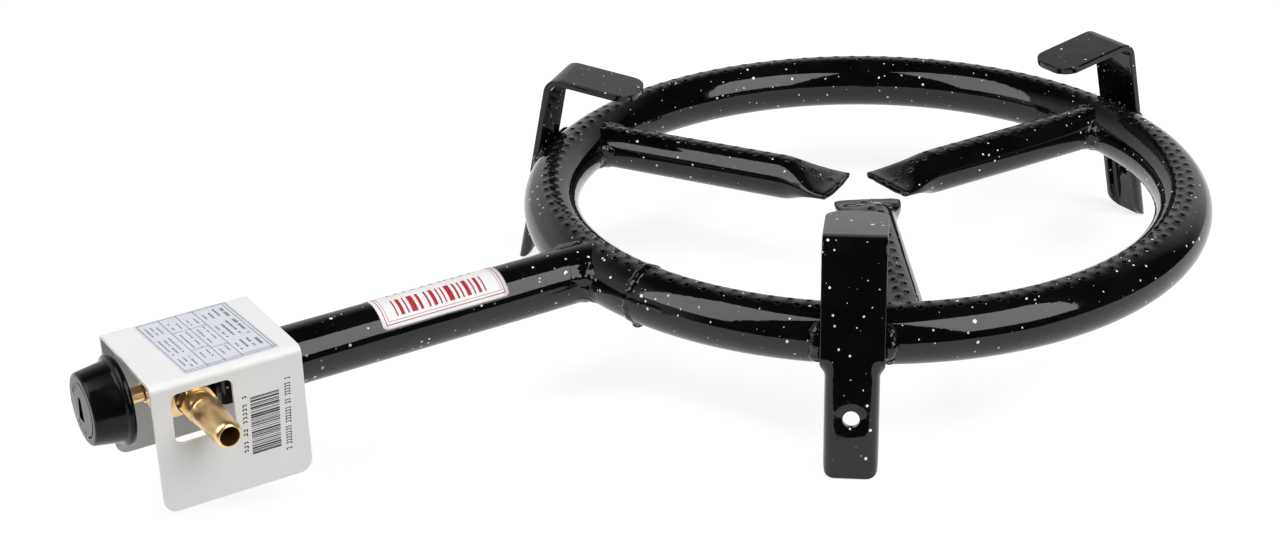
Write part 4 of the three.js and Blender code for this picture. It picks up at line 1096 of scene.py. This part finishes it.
def bar_sticker():
    """The bars on the shield's side, with a column of small print before and after them."""
    parts = []
    top, bottom = 2.4, -20.6

    def ink(xa, za, xb, zb):
        parts.append(box((xa, -SHIELD_HALF - 0.06, za), (xb, -SHIELD_HALF - 0.03, zb)))

    spots = random.Random(23)
    z = top
    while z > bottom:
        tall = spots.choice((0.2, 0.28, 0.45, 0.7))
        lean = (top - z) / 23 * 1.3
        ink(-302.4 - lean, z - tall, -290.9 - lean, z)
        z -= tall + spots.choice((0.2, 0.28, 0.45, 0.6))
    blanks = (1, 7, 10, 17, 25)
    columns = ((-304.6, 1.0, 14, -20.4, 3.6, 1.5), (-287.2, 1.5, 27, -24.0, 6.4, 2.0))
    for x, wide, count, low, high, drift in columns:
        step = (high - low) / count
        for k in range(count):
            if k in blanks:
                continue
            z = high - k * step
            middle = x - drift * k / count
            for side in (middle - wide * 0.6, middle + wide * 0.6):
                ink(side - 0.22, z - step * spots.uniform(0.45, 0.75), side + 0.22, z)
            ink(middle - wide * 0.6, z - 0.3, middle + wide * 0.6, z)
    sticker("bar_print", merged(*parts), DARK_INK)


# ---- studio


def build_studio():
    camera = bpy.data.cameras.new("camera")
    camera.sensor_width = SENSOR
    camera.lens = FOCAL_PIXELS * SENSOR / PHOTO_WIDTH
    camera.clip_start, camera.clip_end = 0.01, 30
    holder = linked("camera", camera)
    c, s, level = cos(AZIMUTH), sin(AZIMUTH), cos(ELEVATION)
    back = Vector((s * level, -c * level, sin(ELEVATION)))
    right = Vector((c, s, 0))
    up = back.cross(right)
    r = right * cos(ROLL) + up * sin(ROLL)
    u = up * cos(ROLL) - right * sin(ROLL)
    turn = Matrix((r, u, back)).transposed().to_4x4()
    holder.matrix_world = Matrix.Translation(to_frame(AIM) + back * DISTANCE * MM) @ turn
    bpy.context.scene.camera = holder

    floor = bpy.data.meshes.new("floor")
    toward = Vector((back.x, back.y, 0)).normalized()
    across = Vector((toward.y, -toward.x, 0))
    # each corner is so many metres toward the camera and so many across
    corners = ((0.3, 0.8), (0.3, -0.8), (-0.95, -0.95), (-0.95, 0.95))
    floor.from_pydata([tuple(toward * a + across * b) for a, b in corners], [], [(0, 1, 2, 3)])
    ground = linked("floor", floor)
    floor.materials.append(floor_material())
    lamp("softbox_left", -86, 44, 0.98, 1.64, 3.5)
    lamp("softbox_right", 167.8, 38.4, 1.16, 1.48, 4.1)
    sky()


def sky():
    """White behind the object for the camera, and for reflections a white wall on the far side alone."""
    world = bpy.data.worlds.new("world")
    bpy.context.scene.world = world
    w = Nodes(world)
    w.tree.nodes.clear()
    path = w.add("ShaderNodeLightPath").outputs
    where = w.add("ShaderNodeTexCoord").outputs["Generated"]
    _, y, z = w.add("ShaderNodeSeparateXYZ", {0: where}).outputs
    rays = w.math("MAXIMUM", path["Is Glossy Ray"], path["Is Transmission Ray"])
    far = w.math("MULTIPLY_ADD", y, 2.2, 0.2, True)
    low = w.math("MULTIPLY_ADD", z, -2.4, 1.9, True)
    wall = w.math("MULTIPLY_ADD", w.math("MULTIPLY", far, low), 0.75, 0.01)
    soft = w.math("MULTIPLY_ADD", w.math("MAXIMUM", z, 0.0), 0.1, 0.08)
    soft = w.math("MULTIPLY", soft, w.math("SUBTRACT", 1.0, rays))
    level = w.math("MAXIMUM", w.math("MULTIPLY_ADD", rays, wall, soft), path["Is Camera Ray"])
    glow = w.add("ShaderNodeBackground", {"Color": (1, 1, 1, 1), "Strength": level})
    w.add("ShaderNodeOutputWorld", {0: glow.outputs[0]})


def floor_material():
    """Grey to the lamps' light, and as white as the background to the camera and to reflections."""
    material = bpy.data.materials.new("floor")
    m = Nodes(material)
    m.tree.nodes.clear()
    diffuse = m.add("ShaderNodeBsdfDiffuse", {"Color": (0.42, 0.42, 0.42, 1)})
    white, path = 0.76, m.add("ShaderNodeLightPath").outputs
    rays = m.math("MAXIMUM", path["Is Camera Ray"], path["Is Glossy Ray"])
    rays = m.math("MAXIMUM", rays, path["Is Transmission Ray"])
    glow = m.add("ShaderNodeEmission", {"Color": (1, 1, 1, 1), "Strength": m.math("MULTIPLY", rays, white)})
    both = m.add("ShaderNodeAddShader", {0: diffuse.outputs[0], 1: glow.outputs[0]})
    m.add("ShaderNodeOutputMaterial", {0: both.outputs[0]})
    return material


def lamp(name, azimuth, elevation, wide, tall, level):
    """A soft box seen from the object at an azimuth from +Y toward +X; its level is how bright its face is."""
    away, middle = 1.6, Vector((0.1, 0.0, 0.05))
    light = bpy.data.lights.new(name, "AREA")
    light.shape = "RECTANGLE"
    light.size, light.size_y = wide, tall
    light.energy = level * pi * wide * tall
    obj = linked(name, light)
    a, e = radians(azimuth), radians(elevation)
    way = Vector((sin(a) * cos(e), cos(a) * cos(e), sin(e)))
    obj.location = way * away + middle
    obj.rotation_mode = "QUATERNION"
    obj.rotation_quaternion = (-way).to_track_quat("-Z", "Y")


# ---- put together

build_burner()
build_mouth()
build_shield()
build_tap()
build_knob()
build_stickers()
for name, material in (
    ("shield_screw_1", ZINC), ("shield_screw_2", ZINC), ("shield_nut_1", ZINC), ("shield_nut_2", ZINC),
    ("tap_plug", BRASS), ("spindle_seal", RUBBER), ("knob_clip", SPRING),
):
    slots = NODES[name].data.materials
    slots.clear()
    slots.append(material)
build_studio()
bpy.context.scene.view_settings.view_transform = "Standard"
